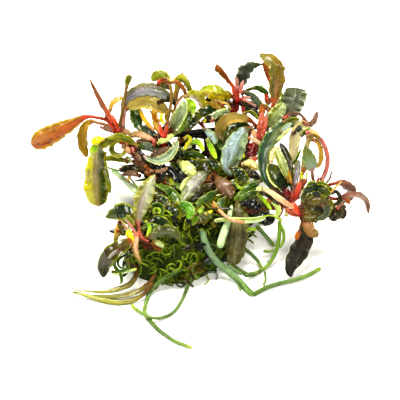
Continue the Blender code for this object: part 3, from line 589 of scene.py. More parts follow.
# The leaves that stand for a solid of the part: node, look, blade width in mm, shape, spine.
LEAVES = [
    ("leaf_left_long", "orange", 7.6,
     dict(stalk=0.30, turn=(5, 5), cup=10, widest=0.82, blunt=1.0, tip=0.42, ruffle=0.5, waves=5), [
        (115.5, 128.2, 28.6), (108, 121, 31), (98, 117.8, 32.3), (86, 117, 32.3), (71, 124.3, 30),
        (55.5, 132.3, 26.2), (41.5, 139.5, 22.6), (31, 144.5, 20.2)]),
    ("leaf_left_spike", "spike", 3.6, dict(stalk=0.05, turn=(62, 60), cup=35, widest=0.35, tip=0.8, ruffle=0.1), [
        (117.5, 126.6, 29.5), (112, 117, 33), (104.3, 104, 38), (97, 91, 43), (90, 79, 47.7)]),
    ("leaf_left_tall", "olive", 2.6, dict(stalk=0.8, turn=(20, 20), widest=0.7, tip=0.4, ruffle=0.1), [
        (119.7, 125.8, 30.4), (121, 118.5, 34), (123, 109, 38), (125, 96, 42), (127, 85, 46), (130, 74.8, 49.4)]),
    ("leaf_left_arch_grey", "lilac", 5.4,
     dict(stalk=0.26, turn=(20, 5), cup=20, widest=0.68, tip=0.5, ruffle=0.5, waves=4), [
        (122.3, 127.8, 28.8), (122, 117.5, 32.2), (122.6, 107.5, 36), (127, 99, 40), (136, 92.5, 43),
        (147, 90, 44.5), (158, 92, 44), (170, 97, 42)]),
    ("leaf_left_arch_yellow", "golden", 5.8,
     dict(stalk=0.30, turn=(150, 165), cup=20, widest=0.5, tip=0.6, ruffle=0.3, waves=4), [
        (123.2, 131, 27.3), (123.6, 122, 29.6), (124.3, 114, 32), (128, 107.5, 34.8), (137, 103.3, 37.6),
        (148, 103, 38.3), (159, 106.3, 37.3), (168, 112, 34.8)]),
    ("leaf_left_narrow", "khaki", 4.4, dict(stalk=0.35, turn=(150, 160), cup=25, widest=0.6, ruffle=0.3), [
        (114.7, 131.3, 27.3), (108.5, 126, 27.5), (99, 123, 28.2), (91, 121.5, 28.3), (84.5, 126, 27.3),
        (81.5, 136, 24), (82.5, 147, 20), (87, 157, 16)]),
    ("leaf_left_drooping", "drooping", 9.8,
     dict(stalk=0.36, turn=(40, 0), cup=20, widest=0.72, blunt=0.7, tip=0.45, ruffle=0.8, waves=3), [
        (137.5, 148, 24.5), (129, 141.5, 27.5), (118, 137.5, 30), (106, 138.8, 30.5), (98.5, 146.5, 27.5),
        (96.5, 160, 22), (96, 175, 16.5), (96.5, 190, 11), (99, 206.5, 5)]),
    ("leaf_top_hood", "olive", 4.0, dict(stalk=0.66, turn=(10, 0), cup=20, tip=0.4, ruffle=0.6), [
        (165.5, 127.8, 31.6), (169.5, 112, 39), (171.5, 96, 45), (169.5, 84, 49), (164, 76.5, 51),
        (157, 75, 51), (151.5, 80.5, 48.5)]),
    ("leaf_top_arch", "band", 3.4, dict(stalk=0.45, turn=(30, 40), cup=25, ruffle=0.4), [
        (169.4, 126.6, 32), (174.6, 110, 36.9), (177.3, 92, 43.5), (180, 79.5, 48.3), (185, 82.5, 47.5),
        (188.2, 91, 43.5), (188, 98, 40)]),
    ("leaf_middle_cupped", "cupped", 5.4, dict(stalk=0.12, turn=(-15, -25), cup=-22, ruffle=0.3), [
        (169.3, 133.3, 29), (174.8, 126, 33.4), (179.7, 116.7, 38), (183.5, 108, 41.8), (184, 100.5, 44)]),
    ("leaf_middle_lime", "lime", 3.0, dict(stalk=0.2, turn=(15, 15)), [
        (168.9, 136.6, 27.7), (179, 131.5, 29.5), (187.5, 121, 33), (190.5, 110, 36), (188.5, 101.5, 38)]),
    ("leaf_back_spike", "rust", 4.0,
     dict(stalk=0.15, turn=(40, 45), cup=30, widest=0.85, blunt=0.9, tip=0.3, ruffle=0.2), [
        (235.3, 91.6, 36), (231, 82.7, 39.5), (226.5, 75.5, 42.5), (221.7, 69.7, 45), (216, 64.8, 47)]),
    ("leaf_back_grey", "slate", 5.8,
     dict(stalk=0.12, turn=(0, 50), cup=15, widest=0.32, blunt=0.6, tip=3.0, ruffle=0.8, waves=4), [
        (239.2, 91, 36), (240.8, 83.5, 39.3), (243.3, 76.5, 42.5), (247.5, 69, 45.5), (254.5, 65.3, 47.5),
        (261.5, 64.6, 48.3), (267, 65, 48)]),
    ("leaf_back_yellow", "gilt", 6.6, dict(stalk=0.1, turn=(20, 10), cup=25, blunt=0.6, tip=0.8, ruffle=0.5), [
        (233.6, 96.3, 33.8), (227, 94.5, 36.5), (217, 92.5, 38.5), (207.5, 90.5, 38), (198.5, 92.5, 36)]),
    ("leaf_back_small", "green", 2.6, dict(stalk=0.42, turn=(30, 20), cup=20), [
        (241.3, 94.3, 35.6), (249, 89.5, 37.6), (257, 88, 38.8), (263, 90.8, 38), (268.5, 95, 36)]),
    ("leaf_tall_olive", "tall", 6.4,
     dict(stalk=0.25, turn=(5, 20), cup=14, widest=0.55, blunt=0.7, tip=0.8, ruffle=0.4, waves=4), [
        (264, 121.3, 34.2), (270.3, 111, 38.3), (274.3, 100, 42), (276.5, 88, 46.5), (278, 76, 51),
        (276.2, 65, 54.5), (269.5, 58.3, 56), (259.5, 54, 56)]),
    ("leaf_golden_arch", "amber", 4.5, dict(stalk=0.12, turn=(165, 150), cup=22, ruffle=0.3, waves=4), [
        (257, 127.3, 33.1), (251.5, 121.5, 36), (244, 118, 38), (235, 117.2, 38.7), (226.5, 119.5, 37.3),
        (220.5, 126, 34), (219, 134, 29.5), (222.5, 141.5, 25.5)]),
    ("leaf_silver", "silver", 8.4,
     dict(stalk=0.16, turn=(10, 5), cup=18, widest=0.52, tip=0.9, ruffle=0.35, waves=3.5), [
        (255, 133.5, 31.3), (250, 129.2, 33.8), (243.5, 131.5, 34.6), (237.5, 140, 32.6), (233, 150, 29.6),
        (230, 160, 26.3), (229, 168, 23.6), (231.5, 175.5, 21)]),
    ("leaf_pale_upright", "sage", 5.4, dict(stalk=0.12, turn=(0, 10), cup=12), [
        (266.5, 131, 32.2), (269.5, 124, 35), (275, 116, 38), (280.3, 109, 40.3), (284, 103, 42)]),
    ("leaf_wrinkled", "crinkled", 8.4,
     dict(stalk=0.42, turn=(10, 0), cup=-8, widest=0.74, blunt=0.4, tip=0.45, ruffle=0.7, waves=5), [
        (265.8, 139.8, 29), (275, 130, 31.4), (284.5, 119, 35), (290.5, 108, 38.8), (294.7, 97, 42.3),
        (296, 87.5, 44.8)]),
    ("leaf_long_dark", "long", 5.3,
     dict(stalk=0.1, turn=(20, -10), cup=14, widest=0.7, tip=0.8, ruffle=0.3, waves=6), [
        (289, 198.6, 20.6), (278, 191.5, 22.4), (268, 181, 25.2), (264.2, 167, 29), (264.8, 152, 33.3),
        (270, 140, 36.4), (279, 130.5, 38.7), (289, 124, 40), (299, 119.5, 40)]),
    ("leaf_tan_fold", "cream", 4.4, dict(stalk=0.42, turn=(150, 170), cup=20, ruffle=0.3, waves=5), [
        (301, 183.3, 24.7), (302.5, 168, 28.7), (305, 151, 33), (308, 136, 37.5), (305.5, 125.5, 40.3),
        (299, 126.5, 39.5), (294.5, 138, 36), (293.5, 151, 32), (294.5, 165.5, 27.5)]),
    ("leaf_glossy_dark", "wet", 7.0, dict(stalk=0.05, turn=(0, 0), cup=8, tip=0.8, ruffle=0.5), [
        (292, 193.3, 22.4), (285, 184.5, 25.5), (277, 175, 28.8), (268.5, 164, 31.5)]),
    ("leaf_right_stalked", "stalked", 2.8, dict(stalk=0.62, turn=(30, 150), cup=20, ruffle=0.2), [
        (319.6, 186.6, 24), (325.5, 173.5, 30), (328.3, 161, 34.5), (326, 148, 38.7), (320, 137.5, 41.3),
        (312.5, 134.5, 41.5), (308, 141, 38.5), (307, 149, 35)]),
    ("leaf_right_green", "bright", 5.2, dict(stalk=0.44, turn=(5, 10), cup=-14, widest=0.4, tip=1.0), [
        (315.2, 188.6, 22.9), (312.7, 177, 28.2), (311.5, 167.5, 32.5), (308, 157, 36.6), (305, 145, 40.3)]),
    ("leaf_right_hooked", "mauve", 4.6, dict(stalk=0.3, turn=(30, 40), cup=25, ruffle=0.3), [
        (322.6, 187.9, 23.4), (332, 184, 26), (340.5, 183, 27), (346.5, 186.5, 25.2), (350, 192, 22),
        (348.5, 201, 16.5)]),
    ("leaf_right_tip", "mauve", 4.0, dict(stalk=0.25, turn=(50, 60), cup=25, ruffle=0.2), [
        (322.6, 193, 22), (332.5, 198.5, 20), (341, 198.2, 20.8), (350, 195.8, 23.6), (358, 197, 22.2),
        (364.7, 202, 17.8), (368, 213.5, 12.6)]),
    ("leaf_curled_upper", "wet", 4.8,
     dict(stalk=0.05, turn=(35, 30), cup=20, blunt=0.5, tip=1.0, ruffle=0.7, waves=5), [
        (310.3, 200.2, 20.3), (308, 193.5, 24.5), (311.5, 188.5, 26.2), (319, 187.5, 26.5),
        (326.5, 190, 25), (327, 197, 22)]),
    ("leaf_curled_lower", "bronze", 6.0,
     dict(stalk=0.05, turn=(30, 20), cup=22, blunt=0.5, tip=1.0, ruffle=0.6, waves=5), [
        (303.8, 209, 17.05), (308.8, 204.6, 21.6), (318, 202.5, 22.7), (325, 207, 20.5), (322, 214.5, 17),
        (314.5, 218.5, 15.3)]),
    ("leaf_hanging_dark", "night", 6.8,
     dict(stalk=0.13, turn=(5, 10), cup=10, widest=0.5, blunt=0.7, tip=1.0, ruffle=0.7, waves=3), [
        (300.8, 215, 14.6), (303.5, 225, 13.8), (305, 234, 12), (302.7, 244, 9.5), (297.3, 254, 7),
        (291.8, 264, 4.5), (290, 271, 2.8), (291.5, 277, 1.5)]),
    ("leaf_hanging_olive", "wood", 4.2, dict(stalk=0.04, turn=(0, 20), cup=15, blunt=0.5, tip=0.5, ruffle=0.2), [
        (304.8, 212.3, 15.6), (307, 221.5, 15.4), (309.5, 230, 14), (313.5, 233.5, 13), (319, 233.5, 13)]),
    ("leaf_tan_strap", "peach", 2.2, dict(stalk=0.1, turn=(20, 20), cup=20, ruffle=0.2), [
        (299.3, 209, 17.1), (289, 204.5, 21.2), (277.5, 197, 23.6), (268.5, 190.8, 24.2), (258.5, 189, 23)]),
    ("leaf_front_pale", "front", 6.5,
     dict(stalk=0.1, turn=(5, -5), cup=14, widest=0.55, blunt=1.1, tip=0.8, ruffle=0.6, waves=4), [
        (139.5, 232, 17.5), (138.3, 222, 20.5), (139.8, 210, 24.5), (143.5, 197, 28.5), (148.8, 185, 31.5),
        (155, 174.5, 33)]),
    ("leaf_front_glossy", "wet", 6.4, dict(stalk=0.3, turn=(0, 10), cup=14, widest=0.4, tip=1.1, ruffle=0.5), [
        (135.6, 232.2, 17.3), (134.3, 222, 20.3), (129.5, 213, 22.3), (119, 211.5, 21), (105.5, 217.3, 16.6)]),
    ("leaf_front_dark", "plum", 6.2, dict(stalk=0.06, turn=(20, 10), cup=10, blunt=0.6, tip=0.8, ruffle=0.12), [
        (135.7, 239.7, 15.9), (127.5, 243, 17.3), (117.5, 248, 17), (108.5, 255.7, 14.3),
        (103.3, 265.7, 9.5), (103, 277.5, 4.2)]),
    ("leaf_front_grey", "muddy", 5.2, dict(stalk=0.12, turn=(25, 15), cup=20, ruffle=0.5), [
        (144.6, 238, 16.8), (152.5, 236.5, 18.5), (162, 232.5, 19.5), (171.5, 232.5, 19.3),
        (180.5, 238.5, 17.3)]),
    ("leaf_low_upper", "ribbon", 2.2, dict(stalk=0.05, turn=(20, 20), widest=0.2, tip=2.2, ruffle=0.2), [
        (136.5, 266, 6.2), (135.5, 276, 4.7), (129.5, 283.8, 3.8), (118, 288.7, 3.3), (103, 291.8, 3),
        (87, 291, 3), (70.5, 290, 3)]),
    ("leaf_low_lower", "ribbon", 2.0,
     dict(stalk=0.08, turn=(25, 25), cup=8, widest=0.25, tip=1.8, ruffle=0.3), [
        (155.5, 274, 5.6), (149, 283, 3.9), (139, 290.5, 2.4), (126, 295, 1.9), (112, 296.5, 1.8),
        (98, 296.3, 1.6), (83, 295, 1.4), (70.5, 292, 1.1)]),
    ("leaf_centre_long", "centre", 5.6, dict(stalk=0.1, turn=(0, 0), cup=20, tip=0.8, ruffle=0.6, waves=4), [
        (210, 171.8, 21.9), (202.5, 176, 23.8), (194.5, 183.5, 23), (187.5, 193, 20.8), (180.5, 204.5, 17.8)]),
    ("leaf_centre_brown", "rose", 6.2, dict(stalk=0.1, turn=(0, 0), cup=18, widest=0.6), [
        (215, 175.5, 21.2), (220, 181.5, 22.3), (226, 189, 21.3), (231.5, 199, 18.5)]),
    ("leaf_centre_bowl", "bowl", 3.8, dict(stalk=0.08, turn=(-20, -20), cup=-22, ruffle=0.3, waves=5), [
        (139.8, 154, 24.6), (147.5, 158, 24.3), (158, 161, 24.2), (167.5, 157.5, 26), (174.5, 149.5, 28.7),
        (178, 140.5, 31)]),
    ("leaf_hanging_front", "shade", 8.2,
     dict(stalk=0.1, turn=(0, 0), cup=10, widest=0.5, blunt=0.5, tip=0.8, ruffle=0.5), [
        (249, 206, 15.6), (242.5, 208, 16.8), (238.5, 219, 15.5), (236.5, 233, 12.5), (235, 248, 8.8),
        (234, 265, 4.6)]),
]

# Rhizomes and roots that stand for a solid: node, look, radii in mm from foot to tip, spine.
STEMS = [
    ("rhizome_left", "stem brown", (1.3, 1.15), [
        (168, 190, 14.3), (155, 178, 18), (143, 166, 21.5), (136, 156.5, 23.2), (128, 146.5, 24.6),
        (121, 137.5, 26.3), (118.9, 130, 28)]),
    ("rhizome_middle", "stem red", (1.3, 1.3), [
        (185, 176, 15.8), (170, 157, 20.5), (163, 143, 25.5), (164, 136.5, 28.6), (165.5, 130.8, 31.2)]),
    ("rhizome_back", "stem red", (1.4, 1.3), [
        (205.5, 171, 15.5), (214.5, 151, 17.8), (226, 127, 22.5), (233.5, 111, 29), (237.5, 95, 35.2)]),
    ("rhizome_twig", "stem dark", (0.9, 0.7), [
        (172, 149, 22), (180, 140.5, 22.3), (191, 136.5, 22.3), (204, 134.5, 21.2), (216.2, 139.6, 18.9)]),
    ("rhizome_tall", "stem red", (1.4, 1.4), [
        (232, 190, 15.8), (243, 173, 19.3), (252, 156, 23.5), (259, 141, 28.3), (262.5, 125, 33.6)]),
    ("rhizome_centre", "stem dark", (1.2, 0.9), [(199, 196, 17), (206, 186, 18.6), (211.5, 175, 21)]),
    ("rhizome_right", "stem coral", (1.3, 1.6), [
        (243, 212, 13), (258, 208, 14.3), (274, 206, 15.8), (286, 203.5, 17.3), (294, 196.5, 20),
        (299, 186.5, 24)]),
    ("rhizome_far_right", "stem coral", (1.1, 1.3), [
        (292.3, 207.3, 16.5), (301.5, 210, 15.6), (311, 202, 18.3), (318.6, 190.3, 23)]),
    ("rhizome_front", "stem husk", (1.0, 0.5), [
        (160, 250, 12.1), (150.5, 246.5, 13.6), (142.5, 241.5, 15), (138.7, 235.5, 16.8)]),
    ("root_front_left", "root green", (0.75, 0.7), [
        (183, 268, 7.8), (174.5, 272.5, 6.6), (165, 278, 4.6), (155.5, 285.5, 2.4), (149.5, 294, 0.85),
        (146, 303, 0.66), (144.7, 311, 0.64), (147.6, 318, 0.64)]),
    ("root_front_tip", "root green", (0.8, 0.6), [
        (147, 317.2, 0.64), (156.5, 328, 0.64), (165.5, 335, 0.64), (175.5, 341.5, 0.64), (192, 347.8, 0.6)]),
    ("root_front_loop", "root green", (0.6, 0.6), [
        (193.5, 262, 8.9), (191.5, 272, 6), (189, 283, 2.8), (185, 293, 0.8), (180.3, 303, 0.6),
        (173, 312.5, 0.56), (163, 317.3, 0.9), (154, 318, 1.85), (146.5, 315.5, 2.05), (138.5, 311, 1.2),
        (131, 305, 0.6)]),
    ("root_right_thick", "root teal", (1.25, 1.15), [
        (201, 230, 13), (204.5, 240, 14.3), (208.5, 250, 11.2), (213.5, 258, 8.2), (221.5, 266, 5), (231, 274, 2.7),
        (240, 282, 1.2), (247, 289.5, 0.9), (253, 295, 0.87)]),
    ("root_right_long", "root green", (0.85, 0.7), [
        (252.5, 295, 0.87), (266, 287.8, 0.9), (280, 283, 1.0), (295, 279.6, 1.1), (308, 275, 1.0),
        (321, 268, 0.7)]),
    ("root_ring_upper", "root lime", (0.7, 0.65), [
        (279.5, 220.5, 13.7), (279.5, 232, 10.5), (278, 244, 7), (274.5, 255, 3.6), (268.5, 264.5, 1.4),
        (260.5, 271, 0.7)]),
    ("root_ring_lower", "root green", (0.75, 0.5), [
        (261.5, 270.5, 0.8), (252, 275, 0.8), (244.5, 272.5, 0.9), (235.5, 267, 2.7), (227, 259.5, 5.4)]),
    ("root_pale", "root pale", (0.6, 1.05, 0.95, 0.6), [
        (214, 221, 17.2), (226, 219.3, 18), (240, 220.5, 18.2), (255, 220, 17.6), (268, 216.8, 16.2),
        (276, 216.8, 14.9), (282.5, 221.5, 13.6)]),
]

# Smaller leaves, bracts and curls without a solid of their own, by the solid they grow on: look,
# blade width in mm, how far the upper face is turned from the viewer, spine.
SMALL_LEAVES = {
    "rhizome_left": [
        ("pink", 1.5, 10, (117, 133, 28), (113, 131.5, 28.5), (106, 129, 29), (99, 126.5, 29)),
        ("red", 1.7, 30, (119, 131, 29), (117, 125, 31.3), (114, 119, 33.5), (112, 115, 34.5)),
        ("pink", 1.3, 0, (121, 130, 29), (123, 123, 31), (124.5, 115, 33), (125, 110, 34)),
        ("red", 1.5, 20, (117.5, 132, 28.8), (112, 126, 30), (107, 119.5, 31.5), (105, 115, 32.5)),
        ("spike", 1.0, 60, (112, 123, 32.5), (106, 113, 36), (101, 104, 39), (99, 99, 41)),
        ("khaki", 2.4, 150, (109.5, 112, 33), (112.5, 104, 35.5), (118, 99.5, 36.5), (124, 98, 36.5)),
        ("mauve", 2.0, 0, (114, 131, 29.5), (108, 129, 30), (103, 127, 30)),
        ("yellow", 3.4, 10, (104, 139, 31.5), (99, 139, 32), (95, 141, 31.5), (92, 144, 30)),
        ("lime", 3.0, 10, (98, 143, 30.5), (95, 147, 29), (92, 151, 27.5), (90, 153, 26.5)),
        ("olive", 2.8, 10, (138, 147, 26.5), (130, 140.5, 29.5), (118, 136.5, 31.8), (107, 138, 32)),
        ("olive", 3.0, 10, (117, 138.5, 30.2), (108, 141.5, 29.8), (102, 148, 28)),
        ("tan", 2.4, 0, (118, 135.5, 27.3), (124, 131.5, 28.6), (131, 134, 28.2)),
        ("olive", 2.3, 20, (126, 146, 27), (124, 153, 26), (117, 155, 25.5), (112, 150, 26), (114, 143, 27),
         (120, 141, 28)),
        ("olive", 2.4, 0, (128, 162, 21.5), (119, 159, 21.3), (110, 158, 20.5), (101, 160, 19.5)),
        ("dim", 3.0, 0, (143, 172, 19.5), (133, 168, 19), (120, 171, 17)),
        ("rose", 2.2, 0, (140, 176, 18.5), (131, 173, 18), (122, 175, 16.5)),
        ("olive", 1.8, 0, (101, 162, 20.5), (106, 174, 17), (109, 184, 14), (110, 193, 11)),
        ("pale", 1.8, 0, (126, 157, 22.5), (129, 160, 21.5), (131, 163, 20.5)),
        ("rose", 1.8, 0, (133, 160, 22), (137, 164, 21), (140, 167, 20)),
        ("olive", 1.1, 0, (120, 169, 17), (128, 166, 19), (138, 169, 18.5)),
        ("tan", 2.0, 0, (124, 145, 27.5), (127, 149, 27), (130, 153, 26)),
        ("maroon", 1.8, 0, (130, 142, 28), (132, 147, 27), (134, 153, 26)),
        ("rose", 1.8, 0, (135, 150, 26.5), (138, 156, 25), (141, 161, 24)),
        ("black", 2.2, 0, (138, 149, 26), (142, 155, 25), (147, 161, 23.5)),
        ("wet", 3.0, 0, (141, 160, 22.5), (149, 168, 20.8), (156, 177, 18.8)),
        ("black", 3.6, 0, (146, 160, 22), (155, 168, 21), (164, 178, 18.5)),
        ("tan", 1.5, 0, (150, 171, 20.5), (160, 171, 20.7), (170, 167, 21)),
        ("lime", 1.0, 0, (155, 181, 17.5), (151, 177, 18.8), (148, 174, 19.5)),
        ("amber", 1.4, 150, (128, 182, 15), (129, 178, 16), (131, 175, 16.5)),
    ],
    "rhizome_middle": [
        ("khaki", 2.8, 150, (160, 134, 31.5), (156.5, 126, 33.3), (155.5, 118, 35.3), (153, 109, 37.7)),
        ("brown", 0.9, 30, (160, 126, 33.5), (156, 120, 35.5), (150, 110, 38)),
        ("khaki", 1.7, 0, (154, 130, 32), (148, 124, 33.5), (143, 117, 35), (140, 109, 37)),
        ("green", 4.6, 10, (142, 133, 29.5), (138, 124, 31.5), (135.5, 114, 33), (133.5, 104, 34.5)),
        ("khaki", 1.6, 150, (160, 133, 32), (155, 122, 34.5), (152, 112, 37)),
        ("slate", 3.8, 0, (160, 137, 30), (152, 134, 30.5), (145, 130, 30.5), (138, 126, 29.5)),
        ("rose", 2.4, 0, (154, 137, 29), (145, 141, 28.5), (136, 141, 28)),
        ("green", 3.0, 0, (152, 150, 26.5), (143, 146, 27), (134, 144, 27)),
        ("husk", 2.8, 0, (155, 141, 29.5), (147, 137, 30.3), (137, 134, 30.3), (128, 137, 28.8)),
        ("slate", 3.2, 0, (156, 152, 26.5), (149, 147, 28), (141, 144, 28)),
        ("maroon", 1.8, 0, (155, 137, 30.5), (154.5, 141, 30), (154, 146, 29)),
        ("pale", 2.6, 0, (157, 144, 29.5), (165, 139, 30.8), (174, 135, 31)),
        ("rose", 3.4, 0, (151, 155, 25.5), (161, 152, 26.8), (172, 149, 27.8)),
        ("red", 1.8, 20, (163, 137, 31), (161, 131, 33), (160, 124, 35)),
        ("red", 1.9, 20, (165, 137, 31), (166.5, 131, 33.2), (167.5, 125, 35.3)),
        ("yellow", 1.3, 0, (164, 124, 34.5), (161, 118, 36.5), (162, 113, 38)),
        ("khaki", 1.5, 60, (160, 122, 34), (155, 116, 36), (158, 112, 37.5), (164, 114, 37)),
        ("khaki", 1.5, 40, (168, 124, 34), (166, 116, 37), (170, 111, 39), (173, 113, 38.5), (171, 118, 37)),
        ("khaki", 1.0, 30, (175, 106, 40), (174, 97, 43), (176, 88, 46)),
        ("tan", 1.3, 30, (177, 104, 41), (181, 98, 43), (184, 95, 44)),
        ("dim", 2.7, 20, (158, 103, 39), (166, 99.5, 41), (172, 100, 42.5), (175, 105, 41.5)),
        ("tan", 1.3, 30, (167, 88, 46), (172, 82, 47.5), (178, 77, 49), (184, 72.5, 50.3)),
        ("bronze", 2.8, 0, (157, 84, 47.7), (165, 84.5, 47.8), (172, 89, 46)),
        ("rust", 2.0, 20, (158, 82, 49.5), (165, 80, 50.5), (170, 84, 49.3)),
        ("cream", 1.2, 0, (167, 79, 51), (172, 80, 50.5), (176, 77, 51)),
        ("brown", 1.7, 10, (171, 82, 48), (178, 83, 48.3), (184, 90, 46), (185.5, 96, 43.5)),
        ("shell", 3.8, 10, (184, 97, 43.5), (193, 94, 43.5), (200, 99, 41.5), (203.5, 109, 38)),
        ("lime", 2.4, 0, (193, 114, 37), (193, 105, 40), (186, 98.5, 41.5)),
        ("wet", 3.0, 0, (187, 131, 31), (192, 124, 33), (200, 115, 35)),
        ("green", 2.2, 0, (190.5, 112, 36), (187.5, 121, 33.5), (184, 128, 31.5)),
        ("yellow", 1.5, 30, (184, 139, 29), (188, 136.5, 29.8), (190, 140, 29), (186, 145, 27.5), (185, 150, 26.5)),
        ("lime", 2.2, 0, (188, 144, 26.5), (197, 141.5, 27), (204, 151, 25)),
        ("pale", 1.6, 0, (182, 150, 26), (187, 147, 26.8), (192, 146, 26.8)),
        ("green", 3.2, 10, (178, 153, 22.5), (186, 155, 23), (196, 155, 23), (205, 158, 21.5)),
        ("black", 4.6, 0, (163, 166, 20.5), (172, 172, 20.5), (182, 180, 19.7), (190, 188, 18.6)),
        ("wet", 4.0, 0, (180, 157, 20.8), (188, 162, 21.6), (198, 164, 22), (208, 161, 21.6)),
        ("wet", 3.6, 10, (167, 158, 21.2), (176, 156, 22.4), (185, 152, 23.8), (193, 152, 23.3)),
        ("black", 3.4, 0, (176, 148, 24), (184, 150, 24.2), (192, 153, 23.5), (200, 150, 23.5)),
    ],
    "rhizome_back": [
        ("silver", 2.9, 0, (204, 129, 30), (209, 133, 30), (214, 138, 29.3), (215.5, 144, 28)),
        ("lime", 2.2, 0, (207, 139, 28.5), (211, 148, 26.5), (216.5, 159, 24)),
        ("green", 2.4, 0, (216, 137, 28.3), (220, 143, 27), (223, 151, 25.5)),
        ("maroon", 1.4, 0, (197, 121, 31.5), (202, 125, 30.8), (207, 131.5, 29.5)),
        ("wet", 4.2, 10, (221, 106, 33.5), (210, 109, 34), (201, 113, 33.3), (193, 120, 31)),
        ("cupped", 2.5, 0, (211, 122, 32), (216, 115, 34), (224, 111.5, 34.8), (230, 112, 34.3)),
        ("yellow", 1.2, 0, (203.5, 123, 31.5), (206, 119, 32.5)),
        ("amber", 2.2, 150, (224, 106, 35.5), (217, 101.5, 36.3), (210, 103, 35.5)),
        ("dim", 4.0, 0, (233, 104, 34), (224, 101, 34.5), (214, 99, 35), (205, 101, 34)),
        ("amber", 1.1, 150, (218, 103, 36), (226, 103.5, 36.5), (231, 110, 34.5)),
        ("khaki", 2.4, 150, (221, 109, 34), (213, 105, 35), (202, 103, 35)),
        ("yellow", 1.4, 0, (219, 108, 34.5), (227, 108, 34.8)),
        ("red", 1.6, 20, (237, 101, 35), (234.5, 93, 38), (232, 87, 40)),
        ("red", 1.7, 10, (238, 101, 35.2), (237.5, 92, 38.5), (236, 85, 41)),
        ("pink", 1.5, 0, (236, 89, 39.8), (237, 82, 42), (235.5, 76.5, 43.6)),
        ("pink", 1.5, 0, (240.5, 93, 38.6), (241.5, 86, 41), (243.5, 80.5, 42.6)),
        ("pink", 1.0, 0, (239, 98, 37), (247, 101, 36.3), (257, 107.5, 34)),
        ("pink", 1.2, 0, (242, 97, 37), (251, 98, 37.2)),
        ("dim", 3.0, 0, (240, 104, 33.5), (248, 104, 34.3), (259, 109, 34)),
        ("red", 1.8, 0, (240, 98, 35), (243, 106, 33), (243, 114, 31)),
        ("maroon", 2.6, 0, (234.5, 99, 35.5), (236, 106, 33), (236.5, 112, 31)),
        ("slate", 2.9, 10, (243, 91.5, 37.3), (253, 97, 36.8), (263, 108, 34)),
        ("rust", 2.4, 0, (271, 84, 44.5), (267.5, 72, 47.5), (263.5, 62, 50)),
        ("lime", 1.4, 30, (269, 91, 42.5), (277, 90.5, 43), (282, 96, 41.5), (279, 104, 39.5)),
        ("pale", 2.3, 0, (271, 92, 41.8), (276, 98, 40.3), (279.5, 105, 38.5)),
        ("rust", 2.5, 0, (266, 95, 42), (267.5, 100, 41), (269.5, 105, 39.7)),
        ("peach", 0.9, 0, (272, 97, 42.2), (275, 104, 40.3), (274, 112, 38)),
        ("black", 2.8, 0, (246, 109, 33.5), (255, 113, 33), (259, 119.5, 31.5)),
        ("olive", 1.2, 30, (242, 114, 35), (252, 112, 36), (259, 120, 34.5)),
        ("brown", 2.6, 0, (261, 118, 36), (262, 111, 38), (263.5, 104, 39.5)),
        ("mauve", 1.0, 0, (265.5, 107, 40), (268, 113, 38.3), (264, 118.5, 36.8)),
        ("sage", 2.0, 0, (261, 104, 37.3), (265, 106.5, 36.8), (270, 109.5, 36.2)),
        ("dim", 3.0, 0, (229, 117, 30), (220, 117, 31), (210, 119, 31), (201, 123, 29.5)),
    ],
    "rhizome_tall": [
        ("coral", 2.7, 10, (257.5, 142, 31), (259.5, 133, 33.5), (261, 125, 36), (262.5, 112, 39.5)),
        ("coral", 2.0, 0, (262, 139, 32), (264, 128, 35), (266.5, 116, 38.3)),
        ("tan", 2.0, 0, (250, 127, 34), (255, 135, 32.5), (258.5, 142, 31)),
        ("peach", 1.5, 0, (248, 137.5, 31.5), (256, 141, 31.7), (263, 147, 30.3)),
        ("maroon", 4.0, 0, (252, 162, 25.8), (252, 151, 28.5), (255, 142, 31)),
        ("maroon", 2.6, 0, (247, 152, 28), (247, 140, 31), (249, 126, 34)),
        ("coral", 2.0, 0, (250, 164, 25.5), (253, 160, 26.8), (257.5, 157, 27.8)),
        ("yellow", 1.0, 0, (243, 151, 28.8), (244, 157.5, 27)),
        ("cream", 3.2, 0, (242, 164.5, 25.7), (250, 163, 26.8), (259, 169.5, 25)),
        ("dim", 3.4, 0, (243, 171, 23.8), (252, 174, 24), (259, 177, 23)),
        ("wet", 4.4, 0, (230, 167, 24.8), (238, 172, 24.3), (244, 180, 22.5), (248, 187, 20.8)),
        ("lime", 1.1, 0, (235, 183, 22), (240, 188, 21.3), (247, 187, 21.2)),
        ("green", 3.3, 0, (262, 180, 23.2), (250, 187, 22.2), (243, 194, 20.8), (234, 200.5, 19)),
        ("green", 2.2, 0, (262, 192, 20.7), (250, 194, 21), (239, 201, 19)),
        ("wet", 3.6, 0, (252, 128, 31.5), (241, 124, 34), (230, 127, 33.5), (224, 137, 30.5)),
        ("shade", 3.0, 0, (246, 121, 33), (238, 126, 32), (231, 133, 30), (227, 142, 28)),
    ],
    "rhizome_right": [
        ("coral", 3.0, 10, (291, 201, 21), (297, 190, 24.5), (303, 183, 27), (307, 179, 28.5)),
        ("red", 2.8, 0, (303, 214, 17.3), (296, 209, 19), (291, 202, 21)),
        ("coral", 2.4, 0, (301, 215.5, 16.3), (293, 213, 17.3), (285, 209, 18.7)),
        ("red", 2.0, 0, (296, 197, 22.5), (298, 190, 25.3), (300, 182, 28)),
        ("lilac", 2.7, 0, (294, 189, 24.8), (295.3, 178, 28), (297, 169, 30.8), (299, 160, 33.8)),
        ("green", 1.0, 20, (290, 166, 31), (296, 160, 33), (301, 149, 36.5)),
        ("yellow", 1.2, 0, (302, 179, 28.5), (302, 172, 30.5)),
        ("cream", 1.0, 0, (306, 179.5, 29), (307.5, 172, 31)),
        ("brown", 1.7, 0, (302, 174, 29.5), (305, 169, 31), (308, 164.5, 32.3)),
        ("sage", 3.4, 0, (289.5, 182, 27), (284.5, 169, 31), (279.5, 157, 34.5), (275.5, 146.5, 36.5)),
